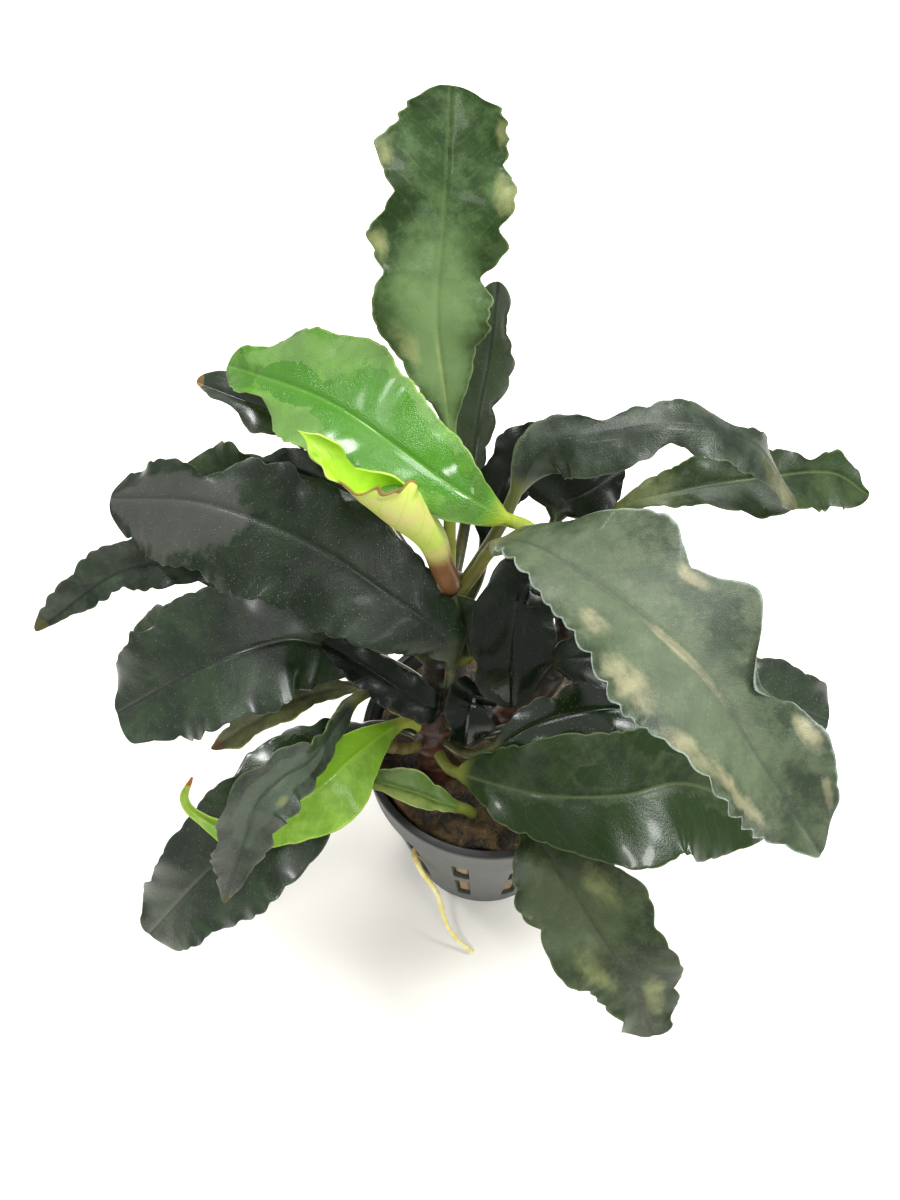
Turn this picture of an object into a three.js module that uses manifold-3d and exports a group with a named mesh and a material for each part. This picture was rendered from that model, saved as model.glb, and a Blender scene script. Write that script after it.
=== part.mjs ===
// A Bucephalandra plant in its five centimetre basket pot: a creeping stem with wavy leaves,
// rooted in rock wool. Millimetres, +Z up, origin at the middle of the pot's underside.
// The camera side of the plant, where the lowest leaves hang forward, is -Y.
import * as THREE from 'three';
import { mergeVertices } from 'three/addons/utils/BufferGeometryUtils.js';
import Module from 'manifold-3d';

const wasm = await Module();
wasm.setup();

// Driving dimensions
const POT_RIM_RADIUS = 25;
const POT_BASE_RADIUS = 17.5;
const POT_HEIGHT = 50;
const POT_WALL = 1.5;
const POT_FLOOR = 2;
const COLLAR_HEIGHT = 10;
const COLLAR_STEP = 0.7;
const LIP_WIDTH = 1.8;
const POT_RADIUS_BELOW_COLLAR = 24;
const POT_SIDES = 36;
const WINDOW_COUNT = 12;
const WINDOW_WIDTH = 3.4;
const WINDOW_ROWS = [[7, 22], [26, 38]];
const FLOOR_SLOTS = 6;
const FLOOR_SLOT_WIDTH = 2.4;
const FLOOR_SLOT_REACH = [8, 14];
const CUT_MARGIN = 1;
const GAP = 0.3;
const WOOL_TOP = 47;
const WOOL_SHOULDER = 14;
const STEM_RADIUS = 3.5;
const STALK_RADIUS = 1.1;
const BLADE_THICKNESS = 0.7;
const MIDRIB_THICKNESS = 1.3;
const ROOT_RADIUS = 0.6;
const CUT_STALK_RADII = [0.9, 1.3];
const LEAF_ROWS = 13;
const LEAF_SIDES = 8;

const COLOURS = {
  pot: 0x55565a,
  wool: 0x5a4426,
  stem: 0x6e3a22,
  root: 0xe6da8c,
  dark: 0x26332a,
  green: 0x3a5c30,
  bright: 0x4c9a2c,
  grey: 0x5d6b58,
  lime: 0x7db82c,
  yellow: 0xd8dc6a,
  sheath: 0x8a7a3a,
};

function finish(colour, roughness) {
  return new THREE.MeshStandardMaterial({ color: COLOURS[colour], roughness, metalness: 0 });
}

// Closed geometry to solid and back
function toSolid(geometry) {
  const bare = geometry.clone();
  bare.deleteAttribute('normal');
  bare.deleteAttribute('uv');
  const merged = mergeVertices(bare, 1e-4);
  return new wasm.Manifold(new wasm.Mesh({
    numProp: 3,
    vertProperties: new Float32Array(merged.attributes.position.array),
    triVerts: new Uint32Array(merged.index.array),
  }));
}

function toGeometry(solid) {
  const mesh = solid.getMesh();
  const geometry = new THREE.BufferGeometry();
  geometry.setAttribute('position', new THREE.BufferAttribute(mesh.vertProperties, 3));
  geometry.setIndex(new THREE.BufferAttribute(mesh.triVerts, 1));
  return geometry;
}

const plant = new THREE.Group();

function add(name, geometry, material) {
  const mesh = new THREE.Mesh(geometry, material);
  mesh.name = name;
  plant.add(mesh);
  return mesh;
}

// A profile of [radius, height] points turned about the Z axis
function turned(profile) {
  const points = profile.map(([radius, height]) => new THREE.Vector2(radius, height));
  const geometry = new THREE.LatheGeometry(points, POT_SIDES);
  geometry.rotateX(Math.PI / 2);
  return geometry;
}

// A box on a spoke from the Z axis, from one radius to another
function spoke(angle, inner, outer, width, low, high) {
  const geometry = new THREE.BoxGeometry(outer - inner, width, high - low);
  geometry.translate((inner + outer) / 2, 0, (low + high) / 2);
  geometry.rotateZ(angle);
  return geometry;
}

// Pot: a tapered basket with a smooth collar, two rows of windows and a slotted floor
const collarFoot = POT_HEIGHT - COLLAR_HEIGHT;
const innerBase = POT_BASE_RADIUS - POT_WALL;
const innerTop = POT_RIM_RADIUS - LIP_WIDTH;

function innerRadius(height) {
  return innerBase + (innerTop - innerBase) * (height - POT_FLOOR) / (POT_HEIGHT - POT_FLOOR);
}

function makePot() {
  const outermost = POT_RIM_RADIUS + CUT_MARGIN;
  let pot = toSolid(turned([
    [0, 0],
    [POT_BASE_RADIUS, 0],
    [POT_RADIUS_BELOW_COLLAR, collarFoot - COLLAR_STEP],
    [POT_RADIUS_BELOW_COLLAR + COLLAR_STEP, collarFoot],
    [POT_RIM_RADIUS + COLLAR_STEP, POT_HEIGHT - COLLAR_STEP],
    [POT_RIM_RADIUS, POT_HEIGHT],
    [innerTop, POT_HEIGHT],
    [innerBase, POT_FLOOR],
    [0, POT_FLOOR],
  ]));
  for (let i = 0; i < WINDOW_COUNT; i++) {
    const angle = 2 * Math.PI * (i + 0.5) / WINDOW_COUNT;
    for (const [low, high] of WINDOW_ROWS) {
      pot = pot.subtract(toSolid(spoke(angle, innerBase - CUT_MARGIN, outermost, WINDOW_WIDTH, low, high)));
    }
  }
  for (let i = 0; i < FLOOR_SLOTS; i++) {
    const angle = 2 * Math.PI * i / FLOOR_SLOTS;
    const slot = spoke(angle, ...FLOOR_SLOT_REACH, FLOOR_SLOT_WIDTH, -CUT_MARGIN, POT_FLOOR + CUT_MARGIN);
    pot = pot.subtract(toSolid(slot));
  }
  return pot;
}

// Curves and tubes
function curveOf(points) {
  return new THREE.CatmullRomCurve3(points.map((p) => new THREE.Vector3(...p)), false, 'catmullrom');
}

// A closed skin over a list of rings, with a flat cap on the first ring and a point at the end
function skin(rings, end) {
  const sides = rings[0].length;
  const positions = rings.flat().flatMap((p) => [p.x, p.y, p.z]);
  positions.push(end.x, end.y, end.z);
  const last = rings.length * sides;
  const index = [];
  for (let k = 1; k < sides - 1; k++) {
    index.push(0, k + 1, k);
  }
  for (let r = 0; r < rings.length - 1; r++) {
    for (let k = 0; k < sides; k++) {
      const a = r * sides + k;
      const b = r * sides + (k + 1) % sides;
      index.push(a, b, b + sides, a, b + sides, a + sides);
    }
  }
  for (let k = 0; k < sides; k++) {
    index.push(last - sides + k, last - sides + (k + 1) % sides, last);
  }
  const geometry = new THREE.BufferGeometry();
  geometry.setAttribute('position', new THREE.BufferAttribute(new Float32Array(positions), 3));
  geometry.setIndex(index);
  return geometry;
}

// A round tube along points, with a radius at its start and at its end, closed by a blunt tip
function tube(points, startRadius, endRadius, rows, sides) {
  const curve = curveOf(points);
  const up = new THREE.Vector3(0.3, 0.9, 0.2);
  const rings = [];
  for (let r = 0; r <= rows; r++) {
    const t = r / rows;
    const centre = curve.getPointAt(t);
    const along = curve.getTangentAt(t);
    const side = new THREE.Vector3().crossVectors(along, up).normalize();
    const lift = new THREE.Vector3().crossVectors(side, along);
    const radius = startRadius + (endRadius - startRadius) * t;
    const ring = [];
    for (let k = 0; k < sides; k++) {
      const angle = -2 * Math.PI * k / sides;
      ring.push(centre.clone()
        .addScaledVector(side, radius * Math.cos(angle))
        .addScaledVector(lift, radius * Math.sin(angle)));
    }
    rings.push(ring);
  }
  const tip = curve.getPointAt(1).addScaledVector(curve.getTangentAt(1), endRadius * 0.6);
  return skin(rings, tip);
}

// Leaves: a round stalk that widens into a blade. Half widths are given at these shares of
// the blade's length, and run smoothly between them to nothing at both ends.
const degree = Math.PI / 180;

function halfWidth(share, stations) {
  const values = [-stations[0], 0, ...stations, 0, -stations[4]];
  const place = Math.acos(Math.min(1, Math.max(-1, 1 - 2 * share))) / Math.PI * 6;
  const cell = Math.min(5, Math.floor(place));
  const u = place - cell;
  const [a, b, c, d] = values.slice(cell, cell + 4);
  const cubic = 2 * b + (c - a) * u + (2 * a - 5 * b + 4 * c - d) * u * u + (3 * b - a - 3 * c + d) * u ** 3;
  return Math.max(0.05, cubic / 2);
}

function smooth(value) {
  const s = Math.min(1, Math.max(0, value));
  return s * s * (3 - 2 * s);
}

function faceAt(face, share) {
  const place = share * (face.length - 1);
  const cell = Math.min(face.length - 2, Math.floor(place));
  const from = new THREE.Vector3(...face[cell]).normalize();
  const to = new THREE.Vector3(...face[cell + 1]).normalize();
  return from.lerp(to, place - cell);
}

// One cross-section of a leaf: a flat ellipse bent along the blade's fold, curl and wave.
function leafRing(leaf, centre, along, share, radius) {
  const side = new THREE.Vector3().crossVectors(along, faceAt(leaf.face, Math.max(0, share))).normalize();
  const up = new THREE.Vector3().crossVectors(side, along);
  const grown = share <= 0 ? 0 : smooth(share / 0.12);
  const thin = share <= 0 ? 0 : smooth(share / 0.3);
  const halfThickness = (BLADE_THICKNESS + (MIDRIB_THICKNESS - BLADE_THICKNESS) * (1 - share)) / 2;
  const middle = radius + (halfThickness - radius) * thin;
  const ring = [];
  for (let k = 0; k < LEAF_SIDES; k++) {
    const angle = Math.PI - 2 * Math.PI * k / LEAF_SIDES;
    const across = Math.cos(angle);
    const hand = across < 0 ? 0 : 1;
    const stations = hand === 0 ? leaf.left : leaf.right;
    const cycle = 2 * Math.PI * (leaf.wave[0] * share + leaf.phase[hand]);
    const blade = share <= 0 ? 0 : halfWidth(share, stations) * (1 + 0.05 * Math.sin(cycle));
    const width = Math.hypot(blade, share > 0.9 ? 0 : radius * (1 - thin));
    const reach = Math.abs(across);
    const curl = leaf.curl[hand] * degree * grown;
    const fold = leaf.fold[hand] * degree * grown;
    const flat = Math.abs(curl) > 1e-3 ? Math.sin(curl * reach) / curl : reach;
    const rise = Math.abs(curl) > 1e-3 ? (1 - Math.cos(curl * reach)) / curl : 0;
    const ruffle = leaf.wave[1] * Math.min(1, blade / 4) * reach ** 2.2 * Math.cos(cycle);
    const x = width * (flat * Math.cos(fold) - rise * Math.sin(fold));
    const z = width * (flat * Math.sin(fold) + rise * Math.cos(fold)) + ruffle;
    ring.push(centre.clone()
      .addScaledVector(side, Math.sign(across) * x)
      .addScaledVector(up, z + middle * Math.sin(angle)));
  }
  return ring;
}

function leafGeometry(leaf) {
  const curve = curveOf(leaf.route);
  const length = curve.getLength();
  const radius = leaf.stalkRadius ?? STALK_RADIUS;
  const rings = [];
  const stalkRows = Math.max(2, Math.round(leaf.stalk / 6));
  for (let r = 0; r < stalkRows; r++) {
    const place = leaf.stalk / length * r / stalkRows;
    rings.push(leafRing(leaf, curve.getPointAt(place), curve.getTangentAt(place), 0, radius));
  }
  const rows = leaf.rows ?? LEAF_ROWS;
  for (let r = 0; r < rows; r++) {
    const u = (r + 0.3) / rows;
    const share = 0.6 * u + 0.2 * (1 - Math.cos(Math.PI * u));
    const place = (leaf.stalk + share * (length - leaf.stalk)) / length;
    rings.push(leafRing(leaf, curve.getPointAt(place), curve.getTangentAt(place), share, radius));
  }
  return skin(rings, curve.getPointAt(1));
}

// Each leaf: its route from the stem to the tip, how much of it is stalk, the way its upper
// face looks at the base and the tip, half widths of its left and right halves, how far each
// half is folded up and curled in degrees, its waves (count, height) and their phases.
const LEAVES = [
  // Five leaves at the top of the stem
  { name: 'leaf_top', colour: 'green', stalk: 25,
    route: [[-8, 12, 84], [-8, 20, 95], [-8, 27, 106], [-10, 34, 123], [-9, 42, 136], [-8, 54, 150]],
    face: [[0, -1, 0.3], [0.1, -1, 0.5]], fold: [6, 6], curl: [6, 6],
    left: [1, 5, 9.6, 9.6, 5.5], right: [1, 5.3, 8.8, 10.2, 7.6], wave: [3.6, 1.2], phase: [0.3, 0.6] },
  { name: 'leaf_bright', colour: 'bright', stalk: 27,
    route: [[12, 9, 83], [10, 11, 92], [5, 10.5, 101], [0, 8.5, 106.5], [-8, 10, 112], [-16, 16, 114],
      [-29, 29, 112], [-48, 46, 104]],
    face: [[0.1, -0.6, 0.8], [0.1, -0.5, 0.85]], fold: [8, 8], curl: [-8, -8],
    left: [3, 7, 9.4, 7.5, 3.6], right: [3, 7, 9.5, 10.4, 6], wave: [3.5, 1], phase: [0, 0.5] },
  { name: 'leaf_rolled', colour: 'yellow', stalk: 13, stalkRadius: 2,
    route: [[-8, 11.5, 85], [-8.3, 9, 88.8], [-9.5, 8.6, 94.5], [-11.1, 7.4, 103], [-14.9, 6.7, 110.3],
      [-19.2, 6.7, 116.3], [-23.8, 7.1, 121.2], [-29.3, 9.5, 124.1]],
    face: [[0.5, -0.5, 0.7], [0.4, -0.5, 0.75]], fold: [10, 10], curl: [40, 170],
    left: [1.5, 3, 3, 2, 1], right: [2.5, 7, 8, 5, 1.5], wave: [2, 0.3], phase: [0, 0.5] },
  { name: 'leaf_right_large', colour: 'grey', stalk: 25,
    route: [[-8.3, 9.3, 80], [-3.6, 10, 90], [-1.8, 8.5, 97], [0.3, 4.5, 104.5], [8, -5, 113],
      [24, -22, 113], [33, -33, 106], [43, -41, 94]],
    face: [[0.3, -0.4, 0.85], [0.4, -0.5, 0.75]], fold: [8, 8], curl: [12, 12],
    left: [4.5, 9.5, 11, 10, 6], right: [3.5, 6.5, 13, 9.8, 4], wave: [3.4, 1.4], phase: [0, 0.5] },
  { name: 'leaf_right_arched', colour: 'grey', stalk: 24,
    route: [[-7.3, 10.5, 82], [-2.5, 13.5, 90], [1, 15, 98], [5, 19, 108], [9, 20, 111.5],
      [15, 19, 113.5], [27, 20, 115], [41, 22, 109], [51.6, 19.4, 96]],
    face: [[0.5, -0.6, 0.5], [0.3, -0.6, 0.7], [0.5, -0.5, 0.6]], fold: [-40, 5], curl: [10, 10],
    left: [2, 5, 5, 4, 2], right: [4, 6.5, 5.5, 5, 3], wave: [4, 1.1], phase: [0, 0.5] },
  // The left-hand fan
  { name: 'leaf_left_broad', colour: 'dark', stalk: 13,
    route: [[-10, 2, 67], [-8, -2, 73], [-8, 0.5, 79], [-10, 2, 84], [-18, 5, 90], [-33, 14, 94],
      [-52, 24, 92], [-72, 32, 84]],
    face: [[0.2, -0.7, 0.7], [0, -0.5, 0.85]], fold: [4, 4], curl: [-10, -10],
    left: [6, 10.5, 13.2, 12.3, 8], right: [4, 8.6, 10.6, 7, 4.6], wave: [3.6, 1.3], phase: [0.2, 0.1] },
  { name: 'leaf_left_behind', colour: 'green', stalk: 12,
    route: [[-9, 7, 75], [-16, 10, 79], [-25, 17, 83], [-37, 25, 86], [-60, 36, 84]],
    face: [[0, -0.5, 0.85], [0, -0.5, 0.85]], fold: [8, 8], curl: [12, 12],
    left: [2, 7, 10, 9, 5], right: [2, 7, 9.5, 10.5, 7.5], wave: [3.3, 1], phase: [0, 0.5] },
  { name: 'leaf_far_left', colour: 'dark', stalk: 24,
    route: [[-10, 3, 69], [-24, 15, 73], [-38, 22, 77], [-56, 23, 76], [-71, 22, 74], [-89, 15, 64]],
    face: [[0.2, -0.6, 0.8], [0.2, -0.7, 0.7]], fold: [14, 14], curl: [12, 12],
    left: [1.5, 5, 6, 3.6, 1.2], right: [1.5, 5, 6, 5.4, 2.7], wave: [4, 0.9], phase: [0, 0.5] },
  { name: 'leaf_left_small', colour: 'dark', stalk: 20, rows: 11,
    route: [[-9, 8, 77], [-14, 16, 83], [-21.5, 24.5, 89], [-31.5, 28.3, 93], [-43, 33, 92.5]],
    face: [[0, -0.5, 0.85], [0, -0.5, 0.85]], fold: [8, 8], curl: [12, 12],
    left: [1, 4, 5, 4, 2], right: [1, 4, 5, 4, 2], wave: [3, 0.8], phase: [0, 0.5] },
  { name: 'leaf_left_tip', colour: 'dark', stalk: 24, rows: 12,
    route: [[-8.5, 10, 81], [-12, 18, 87], [-18.5, 29, 95], [-28.5, 34, 99.5], [-40.5, 38, 101],
      [-54, 45, 99]],
    face: [[0, -0.5, 0.85], [0, -0.5, 0.85]], fold: [8, 8], curl: [12, 12],
    left: [1, 4, 5.5, 4.7, 1.2], right: [1, 4, 5, 3, 2.2], wave: [3.5, 0.9], phase: [0, 0.5] },
  { name: 'leaf_left_middle', colour: 'dark', stalk: 18,
    route: [[-10.2, 0.5, 64.5], [-16, 5.5, 64], [-22, 8.5, 64.5], [-27, 8, 66.5], [-32, 8, 70],
      [-39, 7, 73], [-52, 3, 71], [-71, -1, 60]],
    face: [[0, -0.6, 0.8], [0, -0.5, 0.85]], fold: [8, 8], curl: [12, 12],
    left: [5.5, 10.4, 12, 10.6, 6.8], right: [5.5, 10.5, 13, 10.8, 5], wave: [3.2, 1], phase: [0, 0.5] },
  { name: 'leaf_left_pale', colour: 'green', stalk: 24, rows: 11,
    route: [[-10.5, 0, 60], [-22, 12, 60], [-32, 17, 61], [-53, 17, 62], [-73, 20, 56]],
    face: [[0, -0.5, 0.85], [0, -0.5, 0.85]], fold: [8, 8], curl: [12, 12],
    left: [1, 5, 6, 5.5, 3], right: [1, 5, 6, 5.5, 3], wave: [3, 1.1], phase: [0, 0.5] },
  { name: 'leaf_left_olive', colour: 'sheath', stalk: 18, rows: 10,
    route: [[-10.5, -2, 58], [-20, 4, 56], [-28, 4, 58], [-38, 0, 60], [-54, -5, 53]],
    face: [[0, -0.6, 0.8], [0, -0.9, 0.3]], fold: [10, 10], curl: [20, 20],
    left: [1, 4, 5, 4, 1.5], right: [1, 4, 5, 4, 1.5], wave: [2.5, 0.8], phase: [0, 0.5] },
  // The leaves that hang forward on the left
  { name: 'leaf_low_left', colour: 'dark', stalk: 16,
    route: [[-10.5, -5, 54], [-17, -2, 55], [-24, -3, 58], [-31, -13, 64], [-40, -23, 62],
      [-52, -31, 54], [-63, -37, 42]],
    face: [[0, -0.5, 0.85], [-0.2, -0.7, 0.7]], fold: [8, 8], curl: [12, 12],
    left: [3, 8, 11, 9.4, 5.8], right: [3.8, 8.5, 10, 8.5, 4.7], wave: [3.4, 0.9], phase: [0, 0.5] },
  { name: 'leaf_low_twisted', colour: 'grey', stalk: 20,
    route: [[-10.5, -0.5, 62], [-16, 1.5, 63.5], [-21, 0.5, 67], [-26, -6, 72], [-30, -19, 79],
      [-34, -24, 82], [-38, -28, 81], [-40, -30, 76], [-43, -34, 68], [-46, -37, 60]],
    face: [[0.6, -0.4, 0.7], [0.4, -0.8, 0.4], [-0.3, -0.9, 0.3]], fold: [12, 12], curl: [10, 10],
    left: [2, 5, 5.5, 3, 1], right: [2, 5, 6.5, 3.5, 1.5], wave: [2, 0.8], phase: [0, 0.5] },
  { name: 'leaf_lime', colour: 'lime', stalk: 10,
    route: [[-11, -4, 56], [-15, -4, 62], [-19, -7, 65], [-25, -14, 68], [-30, -20, 69],
      [-37, -24, 68], [-44, -27, 66], [-51, -24, 66], [-53, -22, 69], [-51, -20, 73]],
    face: [[0.4, -0.4, 0.8], [0.1, -0.6, 0.8], [0.6, -0.4, 0.7]], fold: [8, 8], curl: [12, 12],
    left: [1.5, 5, 6.5, 1.6, 0.7], right: [1.5, 5, 6.5, 1.6, 0.7], wave: [1.5, 0.4], phase: [0, 0.5] },
  { name: 'leaf_small_front', colour: 'green', stalk: 8, rows: 8,
    route: [[-3, -15, 44], [-5, -16, 50], [-9, -16, 52.5], [-14, -15, 55], [-20, -14, 57],
      [-27, -12, 58]],
    face: [[0, -0.3, 0.9], [0, -0.3, 0.9]], fold: [40, 10], curl: [12, 12],
    left: [1, 3, 3.5, 2.5, 1.2], right: [1, 3, 3.5, 2.5, 1.2], wave: [1.5, 0.3], phase: [0, 0.5] },
  // The leaves that spread to the front and the right
  { name: 'leaf_front_right', colour: 'green', stalk: 10,
    route: [[-11.2, -5, 55.5], [-8.5, -10.5, 57], [-5, -13.5, 59.7], [8, -21, 68], [21, -22, 70],
      [33, -19, 68], [50, -21, 58]],
    face: [[0, -0.5, 0.85], [0, -0.5, 0.85]], fold: [8, 8], curl: [12, 12],
    left: [4, 9, 11.5, 10, 6], right: [2.6, 7, 11.5, 12, 7.4], wave: [3.4, 1], phase: [0, 0.5] },
  { name: 'leaf_front_low', colour: 'green', stalk: 20,
    route: [[0, -7, 42], [2, -11, 48], [4.5, -19, 55], [11.5, -32, 59], [17.5, -41, 55.5],
      [22.5, -46, 49.5], [28.5, -53, 35.5]],
    face: [[0, -0.5, 0.85], [0.2, -0.9, 0.4]], fold: [8, 8], curl: [12, 12],
    left: [2, 8, 10.4, 7.8, 4.7], right: [2.5, 8.6, 9.2, 5.8, 3.6], wave: [3, 0.8], phase: [0, 0.5] },
  { name: 'leaf_right_lower', colour: 'dark', stalk: 27,
    route: [[-10.4, -1.5, 60.5], [-6, -5.6, 62], [-2.2, -6.3, 61.7], [4, -5.3, 63], [11.5, -2.6, 65.5],
      [19.2, -0.5, 68], [33.3, -1.2, 69.5], [52.6, -1.7, 65], [63.3, -2.8, 60]],
    face: [[0, -0.5, 0.85], [0.2, -0.5, 0.8]], fold: [8, 8], curl: [12, 12],
    left: [3, 7, 9, 8, 5], right: [3, 6, 7, 7, 4], wave: [2.5, 0.6], phase: [0, 0.5] },
  { name: 'leaf_far_right', colour: 'green', stalk: 24,
    route: [[13, 6, 77], [18, 13, 81], [21, 24, 88], [33, 25, 94], [47, 27, 95], [61, 31, 92],
      [69, 29, 88]],
    face: [[0, -0.4, 0.9], [0, -0.4, 0.9]], fold: [8, 8], curl: [12, 12],
    left: [1.2, 4.5, 5, 4, 2.5], right: [1.2, 3, 7.5, 7.5, 5], wave: [4, 1], phase: [0, 0.5] },
  // The leaves behind the stem
  { name: 'leaf_top_back', colour: 'dark', stalk: 20, rows: 11,
    route: [[-8.5, 9, 79], [-6, 20, 84], [-4, 29, 91], [-3, 34, 102], [-1, 40, 113], [0, 46, 122]],
    face: [[-0.4, -0.9, 0.2], [-0.5, -0.8, 0.2]], fold: [8, 8], curl: [12, 12],
    left: [1, 4, 5, 5, 3], right: [0.8, 2.2, 3.8, 4.2, 2.8], wave: [3, 0.8], phase: [0, 0.5] },
  { name: 'leaf_back_upright', colour: 'dark', stalk: 18, rows: 10,
    route: [[-8.5, 7, 75], [-3, 16, 79], [-1, 23, 86], [2, 27, 94], [8, 36, 99]],
    face: [[0.2, -0.8, 0.5], [0.2, -0.8, 0.5]], fold: [8, 8], curl: [12, 12],
    left: [1, 4, 6, 5.5, 3.3], right: [1, 3, 4, 4, 3], wave: [3, 0.7], phase: [0, 0.5] },
  { name: 'leaf_back_dark', colour: 'dark', stalk: 18, rows: 11,
    route: [[12.5, 8, 82], [10.5, 15, 84], [10.5, 21, 87], [12.5, 25, 90.5], [17, 25.5, 94],
      [22.5, 28.5, 96.5]],
    face: [[0, -0.6, 0.8], [0, -0.6, 0.8]], fold: [8, 8], curl: [12, 12],
    left: [2, 5, 6, 5, 3], right: [2, 4, 4.5, 3.5, 2], wave: [2.5, 0.8], phase: [0, 0.5] },
  // The small dark leaves in the heart of the plant
  { name: 'leaf_inner_dark', colour: 'dark', stalk: 9, rows: 10,
    route: [[12.5, 7, 79], [9, 8.5, 84.5], [5, 9.5, 87.5], [3.5, 5, 83.5], [3.2, -0.5, 77.2],
      [3.3, -5, 69.5]],
    face: [[0.2, -0.5, 0.8], [0.2, -0.9, 0.3]], fold: [8, 8], curl: [12, 12],
    left: [3.5, 6, 6, 4.5, 2], right: [5, 8.5, 8.8, 7.5, 3.6], wave: [2, 0.5], phase: [0, 0.5] },
  { name: 'leaf_inner_blade', colour: 'dark', stalk: 8, rows: 8,
    route: [[-9, -1, 63], [-5, -2.7, 67.3], [-4.2, -3, 70.3], [-4.2, -5.3, 71], [-4.6, -8, 67.8],
      [-5, -9.6, 63.5]],
    face: [[0.2, -0.5, 0.8], [0.2, -0.8, 0.5]], fold: [8, 8], curl: [12, 12],
    left: [3.6, 4.2, 4.4, 3.6, 2], right: [3.6, 4.4, 4.6, 3.6, 2], wave: [2, 0.4], phase: [0, 0.5] },
  { name: 'leaf_inner_green', colour: 'green', stalk: 7, rows: 9,
    route: [[-9.6, 4.5, 71], [-5, 2.5, 74], [-5.2, 4, 78], [-6, 6, 82], [-7, 8, 86]],
    face: [[0.2, -0.7, 0.7], [0.1, -0.8, 0.6]], fold: [8, 8], curl: [12, 12],
    left: [2, 3, 3, 2.4, 1.2], right: [2, 3, 3.2, 2.6, 1.4], wave: [2.5, 0.5], phase: [0, 0.5] },
  { name: 'leaf_inner_right', colour: 'dark', stalk: 15, rows: 12,
    route: [[-10.6, -4, 57.5], [-5, -10, 61], [-0.6, -10, 63], [8.3, -7.5, 68.5], [18.6, -7.5, 73.5],
      [29.4, -7.5, 73.5], [38, -5, 70]],
    face: [[0, -0.5, 0.85], [0, -0.5, 0.85]], fold: [8, 8], curl: [12, 12],
    left: [2, 4, 5.5, 5.5, 4], right: [2, 4.5, 5, 5, 4], wave: [2.5, 0.9], phase: [0, 0.5] },
  { name: 'leaf_inner_shade', colour: 'dark', stalk: 7, rows: 10,
    route: [[13, 5, 74.5], [10.5, 0.5, 76.5], [13, -1, 79.5], [24, -1, 82], [38, 0, 80]],
    face: [[0, -0.5, 0.85], [0, -0.5, 0.85]], fold: [8, 8], curl: [12, 12],
    left: [3, 5, 6, 5, 3], right: [3, 5, 6, 5, 3], wave: [2.5, 0.6], phase: [0, 0.5] },
  { name: 'leaf_inner_left', colour: 'dark', stalk: 5, rows: 9,
    route: [[-10.3, -0.5, 64.3], [-10.8, -4.6, 69], [-16, -3.5, 72.7], [-24, 1, 75], [-31, 5, 76]],
    face: [[0, -0.6, 0.8], [0, -0.5, 0.85]], fold: [8, 8], curl: [12, 12],
    left: [3, 3.8, 4, 3, 1.5], right: [2.5, 3.5, 3.5, 3, 1.5], wave: [3, 0.7], phase: [0, 0.5] },
];

// The creeping stem stands in the wool and forks once, low down on its right.
const STEM = [[-9, -7, 40], [-11, -4.5, 55], [-10, 2, 67], [-9, 8, 76], [-8, 12, 86]];
const SIDE_STEM = [[-8, -1, 58], [0, -2.5, 59], [4.5, -1.5, 62], [10, 1.5, 68], [13, 6, 76], [12, 9, 85]];
const ROOT = [[-12.4, -12.6, 29], [-15.3, -16, 27.8], [-14, -18.6, 24], [-10.7, -21.6, 18], [-9, -25.1, 11],
  [-6.8, -27.3, 6], [-3, -29.2, 1.4]];
const CUT_STALK = [[-11, -3.5, 57.5], [-15, -7.5, 58.5], [-20.5, -9, 62], [-25.5, -12, 66]];
const SHEATH = { stalk: 4, rows: 5, stalkRadius: 1.2,
  route: [[-10.8, -2.5, 60], [-12.8, -3.3, 65], [-16.3, -3.8, 67.6], [-19.5, -4, 69]],
  face: [[0, -0.6, 0.8], [0, -0.6, 0.8]], fold: [8, 8], curl: [30, 30],
  left: [1.5, 2, 2, 1.6, 1], right: [1.5, 2, 2, 1.6, 1], wave: [1, 0], phase: [0, 0] };

// The room that a tube needs in its neighbours: the tube, a gap fatter and a little longer below
function room(points, startRadius, endRadius, rows, sides) {
  const [first, second] = points.slice(0, 2).map((p) => new THREE.Vector3(...p));
  const below = first.clone().add(first.clone().sub(second).setLength(2 * GAP)).toArray();
  return toSolid(tube([below, ...points.slice(1)], startRadius + GAP, endRadius + GAP, rows, sides));
}

const stemSize = [STEM_RADIUS, STEM_RADIUS * 0.8, 8, 8];
const sideSize = [STEM_RADIUS * 0.8, STEM_RADIUS * 0.6, 8, 8];
const stem = toSolid(tube(STEM, ...stemSize));
const stemRoom = room(STEM, ...stemSize);
const sideStem = toSolid(tube(SIDE_STEM, ...sideSize)).subtract(stemRoom);
const sideRoom = room(SIDE_STEM, ...sideSize);
const root = toSolid(tube(ROOT, ROOT_RADIUS, ROOT_RADIUS * 0.7, 12, 6));

// The wool fills the pot to just under its rim, with a pocket for each thing that grows in it
function makeWool() {
  const foot = POT_FLOOR + GAP;
  let wool = toSolid(turned([
    [0, foot],
    [innerRadius(foot) - GAP, foot],
    [innerRadius(WOOL_TOP - 1) - GAP, WOOL_TOP - 1],
    [WOOL_SHOULDER, WOOL_TOP],
    [0, WOOL_TOP],
  ]));
  wool = wool.subtract(stemRoom);
  wool = wool.subtract(room(ROOT.slice(0, 3), ROOT_RADIUS, ROOT_RADIUS, 5, 6));
  for (const leaf of LEAVES.filter((one) => one.route[0][2] < WOOL_TOP)) {
    wool = wool.subtract(room(leaf.route.slice(0, 3), STALK_RADIUS, STALK_RADIUS, 6, 8));
  }
  return wool;
}

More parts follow.
